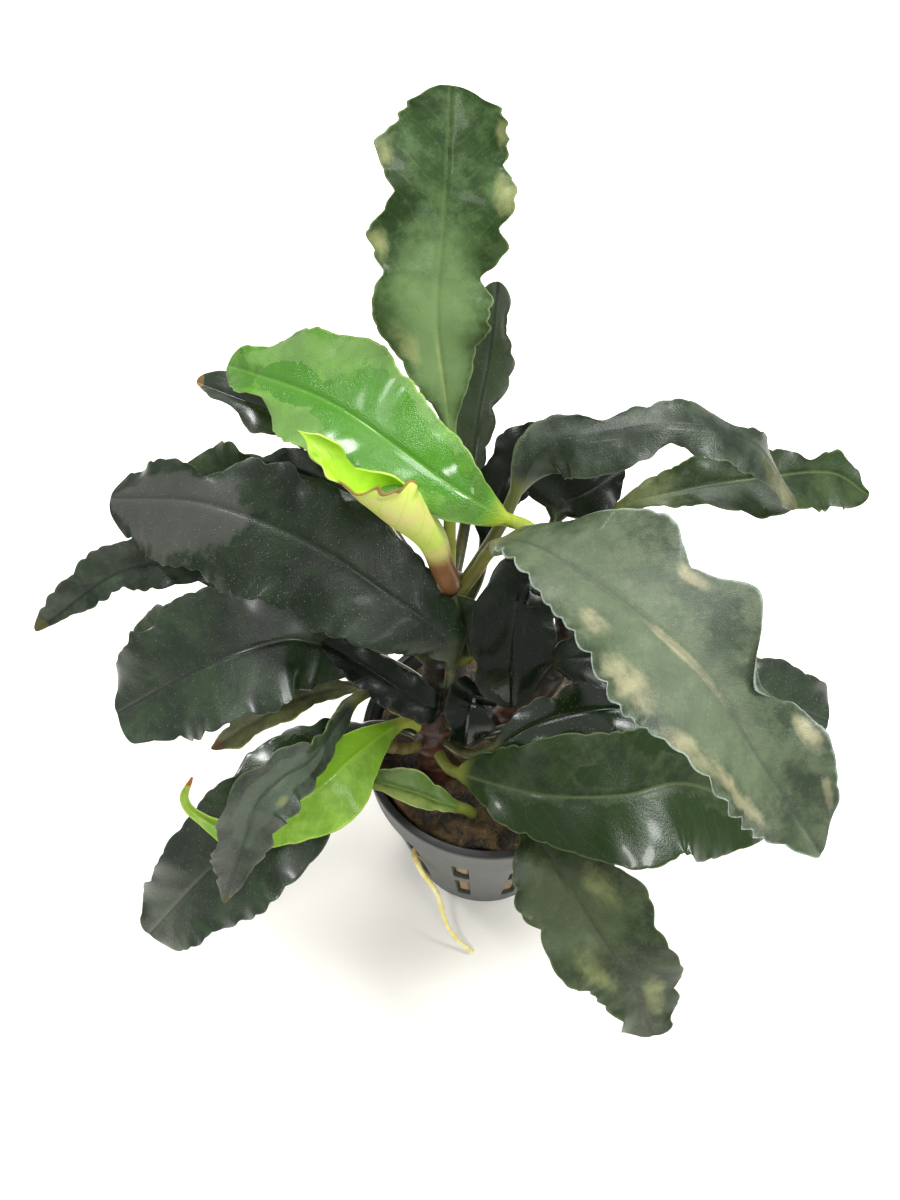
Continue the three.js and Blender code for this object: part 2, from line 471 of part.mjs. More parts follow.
add('pot', toGeometry(makePot()), finish('pot', 0.5));
add('rock_wool', toGeometry(makeWool()), finish('wool', 0.95));
add('stem', toGeometry(stem), finish('stem', 0.7));
add('side_stem', toGeometry(sideStem), finish('stem', 0.7));
add('root', toGeometry(root), finish('root', 0.6));
for (const leaf of LEAVES) {
  const solid = toSolid(leafGeometry(leaf)).subtract(stemRoom).subtract(sideRoom);
  add(leaf.name, toGeometry(solid), finish(leaf.colour, 0.4));
}
const cutStalk = toSolid(tube(CUT_STALK, ...CUT_STALK_RADII, 5, 7)).subtract(stemRoom);
add('cut_stalk', toGeometry(cutStalk), finish('sheath', 0.6));
const sheath = toSolid(leafGeometry(SHEATH)).subtract(stemRoom);
add('sheath', toGeometry(sheath), finish('sheath', 0.6));

export default plant;
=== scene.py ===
"""Bucephalandra in its basket pot: wavy leaves on a creeping stem, rooted in rock wool.

The leaves, stems, root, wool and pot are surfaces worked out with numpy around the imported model,
in its frame: metres, +Z up, origin at the middle of the pot's underside. Tables are in millimetres.
"""
import math

import bmesh
import bpy
import numpy as np
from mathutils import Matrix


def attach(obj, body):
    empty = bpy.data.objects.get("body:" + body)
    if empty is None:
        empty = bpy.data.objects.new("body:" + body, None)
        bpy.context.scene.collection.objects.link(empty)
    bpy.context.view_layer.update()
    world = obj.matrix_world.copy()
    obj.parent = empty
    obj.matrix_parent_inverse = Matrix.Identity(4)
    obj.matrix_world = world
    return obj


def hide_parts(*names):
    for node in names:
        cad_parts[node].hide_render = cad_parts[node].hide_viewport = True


bl_info = {
    "name": "Bucephalandra in a basket pot",
    "version": (1, 0, 0),
    "blender": (4, 5, 0),
    "location": "View3D > Sidebar > Plant",
    "description": "Builds a potted Bucephalandra: leaves, stems, root, rock wool and pot",
    "category": "Add Mesh",
}

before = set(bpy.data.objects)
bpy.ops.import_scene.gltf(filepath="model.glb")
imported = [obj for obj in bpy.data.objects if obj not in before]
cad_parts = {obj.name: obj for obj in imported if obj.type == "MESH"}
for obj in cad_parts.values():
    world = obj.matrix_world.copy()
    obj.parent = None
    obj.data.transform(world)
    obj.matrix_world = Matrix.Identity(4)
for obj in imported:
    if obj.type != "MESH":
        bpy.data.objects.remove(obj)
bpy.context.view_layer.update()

MM = 0.001
DEGREE = math.pi / 180
STALK_RADIUS = 1.1
STEM_RADII = (3.5, 2.8)
SIDE_STEM_RADII = (2.8, 2.1)
CUT_STALK_RADII = (0.9, 1.3)
ROOT_RADIUS = 0.6
ROOT_TAPER = 0.7
SCAR_SPACING = 4.4

# Blades: half their thickness and how much is added at the base, the midrib's ridge below and
# its groove above, the narrowest half width, and the spacing of the side veins in the shape and
# in the colours
BLADE_HALF_THICKNESS = 0.16
BASE_THICKENING = 0.12
RIDGE_HEIGHT = 0.34
RIDGE_WIDTH = 0.8
GROOVE_DEPTH = 0.22
GROOVE_WIDTH = 0.45
LEAST_HALF_WIDTH = 0.05
QUILT_SPACING = 5.8
VEIN_SPACING = 3.1

POT_BASE_RADIUS = 17.5
POT_WALL = 1.5
LIP_WALL = 1.0
POT_FLOOR = 2
POT_UNDERSIDE = 0.05
POT_HEIGHT = 50
COLLAR_FOOT = 40
# Height and outer radius of the pot: a straight taper, then a collar with a small lip
POT_PROFILE = ((0, POT_BASE_RADIUS), (COLLAR_FOOT - 0.7, 24), (COLLAR_FOOT, 24.7),
               (POT_HEIGHT - 1.6, 25.1), (POT_HEIGHT - 1, 25.55), (POT_HEIGHT - 0.2, 25.5),
               (POT_HEIGHT, 25.1))
WINDOW_COUNT = 12
WINDOW_WIDTH = 3.4
WINDOW_ROWS = ((7, 22), (26, 38))
FLOOR_SLOTS = 6
FLOOR_SLOT_WIDTH = 2.4
FLOOR_SLOT_REACH = (8, 14)
BEVEL_WIDTH = 0.22
BEVEL_ANGLE = 50
SHARP_ANGLE = 40
# The radii at which the windows and the slots have their full width
WINDOW_RADIUS = 22
FLOOR_SLOT_RADIUS = 11
WOOL_TOP = 47
WOOL_GAP = 0.3
WOOL_BULGE = 1.2
FIBRE_STATIONS = 7
FIBRE_SIDES = 3

# Mesh sizes: rows along a piece and points round it, for the scroll points on one face
STEM_MESH = (180, 48)
CUT_STALK_MESH = (60, 24)
ROOT_MESH = (160, 20)
SCROLL_MESH = (190, 60)
STALK_ROW_STEP = 1.2
LEAST_STALK_ROWS = 6
# Straight steps in each span of a smooth path
CURVE_STEPS = 80
WOOL_SIDES = 216
WOOL_FOOT_RINGS, WOOL_WALL_RINGS, WOOL_TOP_RINGS = 14, 100, 60

STEM = [[-9, -7, 40], [-11, -4.5, 55], [-10, 2, 67], [-9, 8, 76], [-8, 12, 86]]
SIDE_STEM = [[-8, -1, 58], [0, -2.5, 59], [4.5, -1.5, 62], [10, 1.5, 68], [13, 6, 76], [12, 9, 85]]
ROOT = [[-12.4, -12.6, 29], [-15.3, -16, 27.8], [-14, -18.6, 24], [-10.7, -21.6, 18],
        [-9, -25.1, 11], [-6.8, -27.3, 6], [-3, -29.2, 1.4]]
CUT_STALK = [[-11, -3.5, 57.5], [-15, -7.5, 58.5], [-20.5, -9, 62], [-25.5, -12, 66]]

# The camera that the plant was seen with: its place, its tilt, its lens in image heights, and the
# nearest distance it sees, in metres
CAMERA_PLACE = (-7.94, -88.9, 223.0)
CAMERA_ELEVATION = 55
FOCAL_LENGTH_IN_IMAGE_HEIGHTS = 971 / 1200
SENSOR_SIZE = 36
NEAREST_SEEN = 0.005
# Half of the floor's side, in millimetres
FLOOR_HALF_SIZE = 1500
# What the lights aim at, and each one's name, place, diameter and share of the key light's power.
# These are in metres
LIGHTS_AIM = (0, 0, 0.08)
LAMPS = (("key", (-0.13, -0.4, 0.76), 0.12, 0.12),
         ("front window", (0.29, -0.566, 0.522), 0.14, 0.07),
         ("ceiling", (0.05, 0.3, 0.8), 0.5, 0.6),
         ("right window", (0.4, -0.04, 0.685), 0.2, 0.4),
         ("left window", (-0.47, 0.24, 0.6), 0.12, 0.13))

SLOT_OF_FINISH = {"green": "leaf_green", "moss": "leaf_green", "fern": "leaf_green",
                  "fresh": "leaf_green", "bright": "leaf_bright",
                  "yellow": "leaf_yellow", "grey": "leaf_grey", "slate": "leaf_grey",
                  "dark": "leaf_dark", "gloss": "leaf_dark", "dark_painted_shade": "leaf_dark",
                  "lime": "leaf_lime", "olive": "sheath"}
# An upper face that looks up and to the front at both its base and its tip
UP_FRONT = [[0, -0.5, 0.85], [0, -0.5, 0.85]]


def leaf(name, cluster, finish, stalk, route, face, left, right, **other):
    """One leaf: its route from the stem to the tip, the way its upper face looks at the base and
    the tip, and the half widths of its left and right halves at five stations along the blade.
    fold and curl bend each half in degrees, and wave is the count and the height of its waves.
    frill is the depth and the spacing of the scallops on its margin, and lobe that of its larger
    bulges. uneven scales the bulges of the left and the right half, and the scallops of the
    other half. swells are single bulges (share, side, height, length as a share), or dents where
    the height is below 0. wet, hazy, pale and dry are patches (share, place across, size along,
    size across), with places from 0 to 1 along the blade and from -1 to 1 across it. The hazy
    patches are the leaf's frosty surface together with painted sheen.
    """
    base = {"fold": (8, 8), "curl": (12, 12), "wave": (3, 1), "phase": (0, 0.5),
            "frill": (0.55, 4.2), "lobe": (0.8, 9.5), "uneven": (1, 1), "swells": (), "wet": (),
            "hazy": (), "pale": (), "dry": (), "stalk_radius": STALK_RADIUS,
            "slot": SLOT_OF_FINISH[finish]}
    return {"name": name, "cluster": cluster, "finish": finish, "stalk": stalk, "route": route,
            "face": face, "left": left, "right": right, **base, **other}


LEAVES = [
    leaf("leaf_top", "upper", "green", 25,
         [[-8, 12, 84], [-8, 20, 95], [-8, 27, 106], [-10, 34, 123], [-9, 42, 136], [-8, 54, 150]],
         [[0, -1, 0.3], [0.1, -1, 0.5]], [1, 5, 9.6, 9.6, 6.2], [1, 5.3, 8.8, 10.2, 7.6],
         fold=(6, 6), curl=(6, 6), wave=(3.6, 1.2), phase=(0.3, 0.6), frill=(0.45, 2.8),
         lobe=(0.2, 7.8),
         swells=((0.84, -1, 2.1, 0.035), (0.72, -1, -1.7, 0.035), (0.61, -1, 1.4, 0.03),
                 (0.51, -1, -1.9, 0.03), (0.39, -1, 2.2, 0.09), (0.97, 1, -1.2, 0.03),
                 (0.8, 1, -1.2, 0.025), (0.645, 1, -1.5, 0.02), (0.6, 1, 1.4, 0.02),
                 (0.51, 1, -2.6, 0.03), (0.35, 1, 1.7, 0.035), (0.885, -1, 0.6, 0.011),
                 (0.92, -1, 0.9, 0.011), (0.95, -1, 1, 0.01), (0.87, 1, 0.7, 0.011),
                 (0.91, 1, 0.9, 0.011), (0.945, 1, 1.1, 0.01)),
         hazy=((0.3, 0, 0.3, 0.8),),
         pale=((0.73, 0.85, 0.07, 0.2), (0.57, -0.87, 0.06, 0.16), (0.82, -0.9, 0.05, 0.12),
               (0.32, -0.7, 0.07, 0.25), (0.2, 0, 0.2, 0.09), (0.88, 0.9, 0.04, 0.1))),
    leaf("leaf_bright", "upper", "bright", 27,
         [[12, 9, 83], [10, 11, 92], [5, 10.5, 101], [0, 8.5, 106.5], [-8, 10, 112], [-16, 16, 114],
          [-29, 29, 112], [-48, 46, 104]],
         [[0.1, -0.6, 0.8], [0.1, -0.5, 0.85]], [3, 7, 9.4, 7.5, 3.6], [3, 7, 9.5, 10.4, 6],
         curl=(-8, -8), wave=(3.5, 1), frill=(0.35, 3.4), lobe=(0.25, 7.5),
         swells=((0.56, 1, 2.7, 0.1), (0.37, 1, 1.3, 0.05), (0.88, 1, -1.5, 0.06),
                 (0.75, 1, -0.7, 0.03), (0.79, -1, -2.8, 0.08)),
         hazy=((0.75, 0.5, 0.2, 0.4), (0.62, -0.6, 0.2, 0.4), (0.45, 0.85, 0.2, 0.2)),
         wet=((0.72, 0, 0.14, 0.4), (0.36, 0.1, 0.26, 0.75))),
    leaf("leaf_rolled", "upper", "yellow", 13,
         [[-8, 11.5, 85], [-8.3, 9, 88.8], [-9.5, 8.6, 94.5], [-11.1, 7.4, 103],
          [-14.9, 6.7, 110.3], [-19.2, 6.7, 116.3], [-23.8, 7.1, 121.2], [-29.3, 9.5, 124.1]],
         [[0.5, -0.5, 0.7], [0.4, -0.5, 0.75]], [1.5, 3, 3, 2, 1], [2.5, 7, 8, 5, 1.5],
         fold=(10, 10), curl=(40, 170), wave=(2, 0.3), frill=(0.25, 3), stalk_radius=2.0,
         dry=((0.1, 0.9, 0.02, 0.2), (0.45, 1, 0.08, 0.12), (0.8, -1, 0.2, 0.15))),
    leaf("leaf_right_large", "right", "grey", 25,
         [[-8.3, 9.3, 80], [-3.6, 10, 90], [-1.8, 8.5, 97], [0.3, 4.5, 104.5], [8, -5, 113],
          [24, -22, 113], [33, -33, 106], [43, -41, 94]],
         [[0.3, -0.4, 0.85], [0.4, -0.5, 0.75]], [4.5, 9.5, 11, 10, 6], [3.5, 6.5, 13, 9.8, 4],
         wave=(3.4, 1.4), frill=(0.55, 3.0), lobe=(0.3, 11),
         uneven=(1.7, 0.45),
         swells=((0.33, -1, 2.8, 0.06), (0.535, -1, 3.3, 0.05), (0.645, -1, -7.4, 0.062),
                 (0.79, -1, 1.2, 0.03), (0.94, -1, -1.5, 0.06)),
         hazy=((0.3, 0.1, 0.25, 0.7), (0.62, 0.2, 0.2, 0.5)),
         pale=((0.38, 0.55, 0.06, 0.2), (0.5, 0.72, 0.08, 0.22), (0.53, 0, 0.13, 0.07),
               (0.66, 0.85, 0.06, 0.18), (0.44, -0.85, 0.05, 0.12), (0.76, 0.7, 0.1, 0.16),
               (0.78, -0.8, 0.05, 0.14), (0.9, -0.75, 0.04, 0.14))),
    leaf("leaf_right_arched", "right", "slate", 24,
         [[-7.3, 10.5, 82], [-2.5, 13.5, 90], [1, 15, 98], [5, 19, 108], [9, 20, 111.5],
          [15, 19, 113.5], [27, 20, 115], [41, 22, 109], [51.6, 19.4, 96]],
         [[0.5, -0.6, 0.5], [0.3, -0.6, 0.7], [0.5, -0.5, 0.6]], [2, 5, 5, 4, 2],
         [4, 6.5, 5.5, 5, 3], fold=(-40, 5), curl=(10, 10), wave=(4, 1.1), frill=(0.4, 3.4),
         lobe=(0.2, 8),
         swells=((0.32, -1, -3.3, 0.06), (0.42, -1, -0.9, 0.04), (0.67, -1, -2.9, 0.05),
                 (0.8, -1, 1.2, 0.03), (0.47, 1, -3.1, 0.06), (0.38, 1, -0.9, 0.03)),
         pale=((0.9, 0.2, 0.12, 1),), dry=((1, 0, 0.04, 2),)),
    leaf("leaf_left_broad", "left", "dark", 13,
         [[-10, 2, 67], [-8, -2, 73], [-8, 0.5, 79], [-10, 2, 84], [-18, 5, 90], [-33, 14, 94],
          [-52, 24, 92], [-72, 32, 84]],
         [[0.2, -0.7, 0.7], [0, -0.5, 0.85]], [6, 10.5, 13.2, 12.3, 8], [4, 8.6, 10.6, 7, 4.6],
         fold=(4, 4), curl=(-10, -10), wave=(3.6, 1.3), phase=(0.2, 0.1), frill=(0.55, 3.8),
         lobe=(0.7, 9), uneven=(0.7, 1.5),
         swells=((0.86, 1, 1.4, 0.03), (0.96, 1, 1.5, 0.03), (0.71, 1, -1.6, 0.035)),
         hazy=((0.8, -0.1, 0.22, 0.8),)),
    leaf("leaf_left_behind", "left", "moss", 12,
         [[-9, 7, 75], [-16, 10, 79], [-25, 17, 83], [-37, 25, 86], [-60, 36, 84]],
         UP_FRONT, [2, 7, 10, 9, 5], [2, 6, 8.8, 9.6, 7],
         wave=(3.3, 1)),
    leaf("leaf_far_left", "left", "slate", 24,
         [[-10, 3, 69], [-24, 15, 73], [-38, 22, 77], [-56, 23, 76], [-71, 22, 74], [-89, 15, 64]],
         [[0.2, -0.6, 0.8], [0.2, -0.7, 0.7]], [1.5, 5, 6, 3.6, 1.2], [1.5, 5, 6, 5.4, 2.7],
         fold=(14, 14), wave=(4, 0.9), frill=(0.6, 3.4), lobe=(0.4, 9),
         swells=((0.69, -1, -1.4, 0.04), (0.48, -1, -1.8, 0.08)), dry=((1, 0, 0.05, 2),),
         slot="leaf_dark"),
    leaf("leaf_left_small", "left", "gloss", 20,
         [[-9, 8, 77], [-14, 16, 83], [-21.5, 24.5, 89], [-31.5, 28.3, 93], [-43, 33, 92.5]],
         UP_FRONT, [1, 4, 5, 4, 2], [1, 4, 5, 4, 2], wave=(3, 0.8)),
    leaf("leaf_left_tip", "left", "gloss", 24,
         [[-8.5, 10, 81], [-12, 18, 87], [-18.5, 29, 95], [-28.5, 34, 99.5], [-40.5, 38, 101],
          [-54.5, 46, 100]],
         UP_FRONT, [1, 3.6, 4.6, 4.2, 1.2], [1, 4, 5, 3, 2.2],
         swells=((0.86, 1, 1.5, 0.08), (0.8, -1, -1.8, 0.08)), wave=(3.5, 0.9),
         dry=((1, 0, 0.04, 2),)),
    leaf("leaf_left_middle", "left", "gloss", 18,
         [[-10.2, 0.5, 64.5], [-16, 5.5, 64], [-22, 8.5, 64.5], [-27, 8, 66.5], [-32, 8, 70],
          [-39, 7, 73], [-52, 3, 71], [-71, -1, 60]],
         [[0, -0.6, 0.8], [0, -0.5, 0.85]], [5.5, 10.4, 12, 10.6, 6.8], [5.5, 10.5, 13, 10.8, 5],
         wave=(3.2, 1), frill=(0.6, 4.2), lobe=(0.4, 9.5),
         swells=((0.97, -1, 1.2, 0.04), (0.88, 1, 1, 0.06), (0.75, 1, 1.2, 0.02))),
    leaf("leaf_left_pale", "left", "grey", 24,
         [[-10.5, 0, 60], [-22, 12, 60], [-32, 17, 61], [-53, 17, 62], [-73, 20, 56]],
         UP_FRONT, [1, 5, 6, 5.5, 3], [1, 5, 6, 5.5, 3],
         wave=(3, 1.1), slot="leaf_green"),
    leaf("leaf_left_olive", "left", "olive", 18,
         [[-10.5, -2, 58], [-20, 5, 57], [-28, 5.3, 59], [-38, 1, 61], [-54, -5, 53]],
         [[0, -0.6, 0.8], [0, -0.9, 0.3]], [1, 2.4, 2.6, 2.6, 1.4], [1, 3.4, 4.4, 3.8, 1.5],
         fold=(10, 10), curl=(20, 20), wave=(2.5, 0.8), dry=((1, 0, 0.1, 2),)),
    leaf("leaf_low_left", "front", "gloss", 16,
         [[-10.5, -5, 54], [-17, -2, 55], [-24, -3, 58], [-31, -13, 64], [-40, -23, 62],
          [-52, -31, 54], [-63, -37, 42]],
         [[0, -0.5, 0.85], [-0.2, -0.7, 0.7]], [3, 8, 11, 9.4, 5.8], [3.8, 8.5, 10, 8.5, 4.7],
         wave=(3.4, 0.9), lobe=(0.4, 9), wet=((0.25, 0.3, 0.15, 0.5),),
         swells=((0.17, 1, -1.3, 0.03), (0.34, 1, 1.7, 0.04), (0.78, 1, -1.6, 0.05),
                 (0.52, -1, 1, 0.08))),
    leaf("leaf_low_twisted", "front", "slate", 20,
         [[-10.5, -0.5, 62], [-16, 1.5, 63.5], [-21, 0.5, 67], [-26, -6, 72], [-30, -19, 79],
          [-34, -24, 82], [-38, -28, 81], [-40, -30, 76], [-43, -34, 68], [-46, -37, 60]],
         [[0.6, -0.4, 0.7], [0.4, -0.8, 0.4], [-0.3, -0.9, 0.3]], [1.4, 3, 5.4, 3.8, 1.2],
         [1.2, 2.6, 6, 4.4, 1.5], fold=(12, 12), curl=(10, 10), wave=(2, 0.8), frill=(0.5, 3.6),
         lobe=(0.6, 7), hazy=((0.5, 0, 0.25, 0.6),), pale=((0.5, -0.5, 0.03, 0.16),),
         dry=((1, 0, 0.05, 2),)),
    leaf("leaf_lime", "front", "lime", 10,
         [[-11, -4, 56], [-15, -4, 62], [-19, -7, 65], [-25, -14, 68], [-30, -20, 69],
          [-37, -24, 68], [-44, -27, 66], [-51, -24, 66], [-53, -22, 69], [-51, -20, 73]],
         [[0.4, -0.4, 0.8], [0.1, -0.6, 0.8], [0.6, -0.4, 0.7]], [1.5, 5, 6.5, 1.6, 0.7],
         [1.5, 5, 6.5, 1.6, 0.7], wave=(1.5, 0.4), frill=(0.12, 4), lobe=(0.12, 9),
         swells=((0.35, -1, 1.8, 0.12),),
         wet=((0.25, 0.5, 0.2, 0.6),), pale=((0.9, 0, 0.12, 3),), dry=((1, 0, 0.04, 2),)),
    leaf("leaf_small_front", "front", "fresh", 8,
         [[-3, -15, 44], [-5, -16, 50], [-9, -16, 52.5], [-14, -15, 55], [-20, -14, 57],
          [-27, -12, 58]],
         [[0, -0.3, 0.9], [0, -0.3, 0.9]], [1, 3, 3.5, 2.5, 1.2], [1, 3, 3.5, 2.5, 1.2],
         fold=(40, 10), wave=(1.5, 0.3), frill=(0.2, 3), pale=((0.5, -0.7, 0.7, 0.6),)),
    leaf("leaf_front_right", "front", "moss", 10,
         [[-11.2, -5, 55.5], [-8.5, -10.5, 57], [-5, -13.5, 59.7], [8, -21, 68], [21, -22, 70],
          [33, -19, 68], [50, -21, 58]],
         UP_FRONT, [4, 9, 11.5, 10, 6], [2.6, 7, 11.5, 12, 7.4],
         wave=(3.4, 0.9), frill=(0.35, 3.6), lobe=(0.35, 9),
         wet=((0.5, 0.75, 0.5, 0.62), (0.47, -0.32, 0.1, 0.2), (0.75, -0.7, 0.2, 0.3))),
    leaf("leaf_front_low", "front", "fern", 20,
         [[0, -7, 42], [2, -11, 48], [4.5, -19, 55], [11.5, -32, 59], [17.5, -41, 55.5],
          [22.5, -46, 49.5], [28.5, -53, 35.5]],
         [[0, -0.5, 0.85], [0.2, -0.9, 0.4]], [2, 8, 10.4, 7.8, 4.7], [2.5, 8.6, 9.2, 5.8, 3.6],
         wave=(3, 0.8), frill=(0.5, 3.4),
         pale=((0.35, -0.5, 0.1, 0.3), (0.6, 0.5, 0.12, 0.3), (0.8, -0.4, 0.1, 0.3)),
         hazy=((0.35, 0.1, 0.2, 0.8),)),
    leaf("leaf_right_lower", "right", "gloss", 27,
         [[-10.4, -1.5, 60.5], [-6, -5.6, 62], [-2.2, -6.3, 61.7], [4, -5.3, 63],
          [11.5, -2.6, 65.5], [19.2, -0.5, 68], [33.3, -1.2, 69.5], [52.6, -1.7, 65],
          [63.3, -2.8, 60]],
         [[0, -0.5, 0.85], [0.2, -0.5, 0.8]], [3, 7, 9, 8, 5], [3, 6, 7, 7, 4],
         wave=(2.5, 0.6)),
    leaf("leaf_far_right", "right", "moss", 24,
         [[13, 6, 77], [18, 13, 81], [21, 24, 88], [33, 25, 94], [47, 27, 95], [61, 31, 92],
          [69, 29, 88]],
         [[0, -0.4, 0.9], [0, -0.4, 0.9]], [1.2, 4.5, 5, 4, 2.5], [1.2, 3, 7.5, 7.5, 5],
         wave=(4, 1), frill=(0.5, 3.8), lobe=(0.4, 9), pale=((0.1, 0, 0.16, 2),),
         swells=((0.12, -1, 0.9, 0.05), (0.73, -1, -2.4, 0.04), (0.84, -1, 1.2, 0.02),
                 (0.96, -1, -1.4, 0.03), (0.87, 1, 1.6, 0.04))),
    leaf("leaf_top_back", "back", "gloss", 20,
         [[-8.5, 9, 79], [-6, 20, 84], [-4, 29, 91], [-3, 34, 102], [-1, 40, 113], [0, 46, 122]],
         [[-0.4, -0.9, 0.2], [-0.5, -0.8, 0.2]], [1, 4, 5, 5, 3], [0.8, 2.2, 3.8, 4.2, 2.8],
         wave=(3, 0.8), hazy=((0.6, 0, 0.5, 2),)),
    leaf("leaf_back_upright", "back", "dark_painted_shade", 18,
         [[-8.5, 7, 75], [-3, 16, 79], [-1, 23, 86], [2, 27, 94], [8, 36, 99]],
         [[0.2, -0.8, 0.5], [0.2, -0.8, 0.5]], [1, 4, 6, 5.5, 3.3], [1, 3, 4, 4, 3],
         wave=(3, 0.7)),
    leaf("leaf_back_dark", "back", "dark_painted_shade", 18,
         [[12.5, 8, 82], [10.5, 15, 84], [10.5, 21, 87], [12.5, 25, 90.5], [17, 25.5, 94],
          [22.5, 28.5, 96.5]],
         [[0, -0.6, 0.8], [0, -0.6, 0.8]], [8, 10.6, 10.2, 7, 3], [5, 7, 5.6, 3.6, 2],
         wave=(2.5, 0.8)),
    leaf("leaf_inner_dark", "heart", "dark_painted_shade", 9,
         [[12.5, 7, 79], [9, 8.5, 84.5], [5, 9.5, 87.5], [3.5, 5, 83.5], [3.2, -0.5, 77.2],
          [3.3, -5, 69.5]],
         [[0.2, -0.5, 0.8], [0.2, -0.9, 0.3]], [3.5, 6.6, 7, 5.6, 2.6], [5, 8.2, 8.4, 7.2, 3.4],
         frill=(0.3, 3.6), lobe=(0.35, 7), wave=(2, 0.5), wet=((0.6, 0, 0.4, 0.8),)),
    leaf("leaf_inner_blade", "heart", "dark_painted_shade", 8,
         [[-9, -1, 63], [-5, -2.7, 67.3], [-4.2, -3, 70.3], [-4.2, -5.3, 71], [-4.6, -8, 67.8],
          [-5, -9.6, 63.5]],
         [[0.2, -0.5, 0.8], [0.2, -0.8, 0.5]], [3.6, 4.2, 4.4, 3.6, 2], [3.6, 4.4, 4.6, 3.6, 2],
         wave=(2, 0.4), wet=((0.6, 0, 0.4, 0.8),)),
    leaf("leaf_inner_green", "heart", "moss", 7,
         [[-9.6, 4.5, 71], [-5, 2.5, 74], [-5.2, 4, 78], [-6, 6, 82], [-7, 8, 86]],
         [[0.2, -0.7, 0.7], [0.1, -0.8, 0.6]], [2, 3, 3, 2.4, 1.2], [3.4, 5.4, 5.8, 4.8, 2.4],
         wave=(2.5, 0.5), frill=(0.35, 2.6)),
    leaf("leaf_inner_right", "heart", "gloss", 15,
         [[-10.6, -4, 57.5], [-5, -10, 61], [-0.6, -10, 63], [8.3, -7.5, 68.5],
          [18.6, -7.5, 73.5], [29.4, -7.5, 73.5], [38, -5, 70]],
         UP_FRONT, [2, 4, 5.5, 5.5, 4], [2, 4.5, 5, 5, 4],
         wave=(2.5, 0.9), wet=((0.3, 0, 0.4, 1.2),)),
    leaf("leaf_inner_shade", "heart", "dark_painted_shade", 7,
         [[13, 5, 74.5], [10.5, 0.5, 76.5], [13, -1, 79.5], [24, -1, 82], [38, 0, 80]],
         UP_FRONT, [3, 5, 6, 5, 3], [3, 5, 6, 5, 3], wave=(2.5, 0.6)),
    leaf("leaf_inner_left", "heart", "dark_painted_shade", 5,
         [[-10.3, -0.5, 64.3], [-10.8, -4.6, 69], [-16, -3.5, 72.7], [-24, 1, 75], [-31, 5, 76]],
         [[0, -0.6, 0.8], [0, -0.5, 0.85]], [3, 3.8, 4, 3, 1.5], [2.5, 3.5, 3.5, 3, 1.5],
         wave=(3, 0.7), frill=(0.5, 2.8), lobe=(0.5, 5)),
]

SHEATH = leaf("sheath", "heart", "olive", 4,
              [[-10.8, -2.5, 60], [-12.8, -3.3, 65], [-16.3, -3.8, 67.6], [-19.5, -4, 69]],
              [[0, -0.6, 0.8], [0, -0.6, 0.8]], [1.5, 2, 2, 1.6, 1], [1.5, 2, 2, 1.6, 1],
              curl=(30, 30), wave=(1, 0), phase=(0, 0), frill=(0.2, 2.5), stalk_radius=1.2,
              dry=((0.9, 0, 0.5, 0.8),))

CLUSTERS = ("upper", "left", "front", "right", "back", "heart")
# Where the points of a leaf's cross-section lie, as shares of its half width
REACHES = (0, 0.035, 0.07, 0.12, 0.18, 0.26, 0.36, 0.47, 0.58, 0.69, 0.79, 0.88, 0.95, 0.985)


def linear(red, green, blue):
    """A colour given as screen values from 0 to 255, as light: the sRGB curve undone."""
    screen = np.array([red, green, blue]) / 255
    light = np.where(screen <= 0.04045, screen / 12.92, ((screen + 0.055) / 1.055) ** 2.4)
    return (*light.tolist(), 1.0)


class Link:
    """A shader socket that Python's operators work on, each adding a Math node."""

    def __init__(self, graph, socket):
        self.graph = graph
        self.socket = socket

    def __add__(self, other):
        return self.graph.math("ADD", self, other)

    def __sub__(self, other):
        return self.graph.math("SUBTRACT", self, other)

    def __rsub__(self, other):
        return self.graph.math("SUBTRACT", other, self)

    def __mul__(self, other):
        return self.graph.math("MULTIPLY", self, other)

    def __truediv__(self, other):
        return self.graph.math("DIVIDE", self, other)

    def __rtruediv__(self, other):
        return self.graph.math("DIVIDE", other, self)

    __radd__ = __add__
    __rmul__ = __mul__


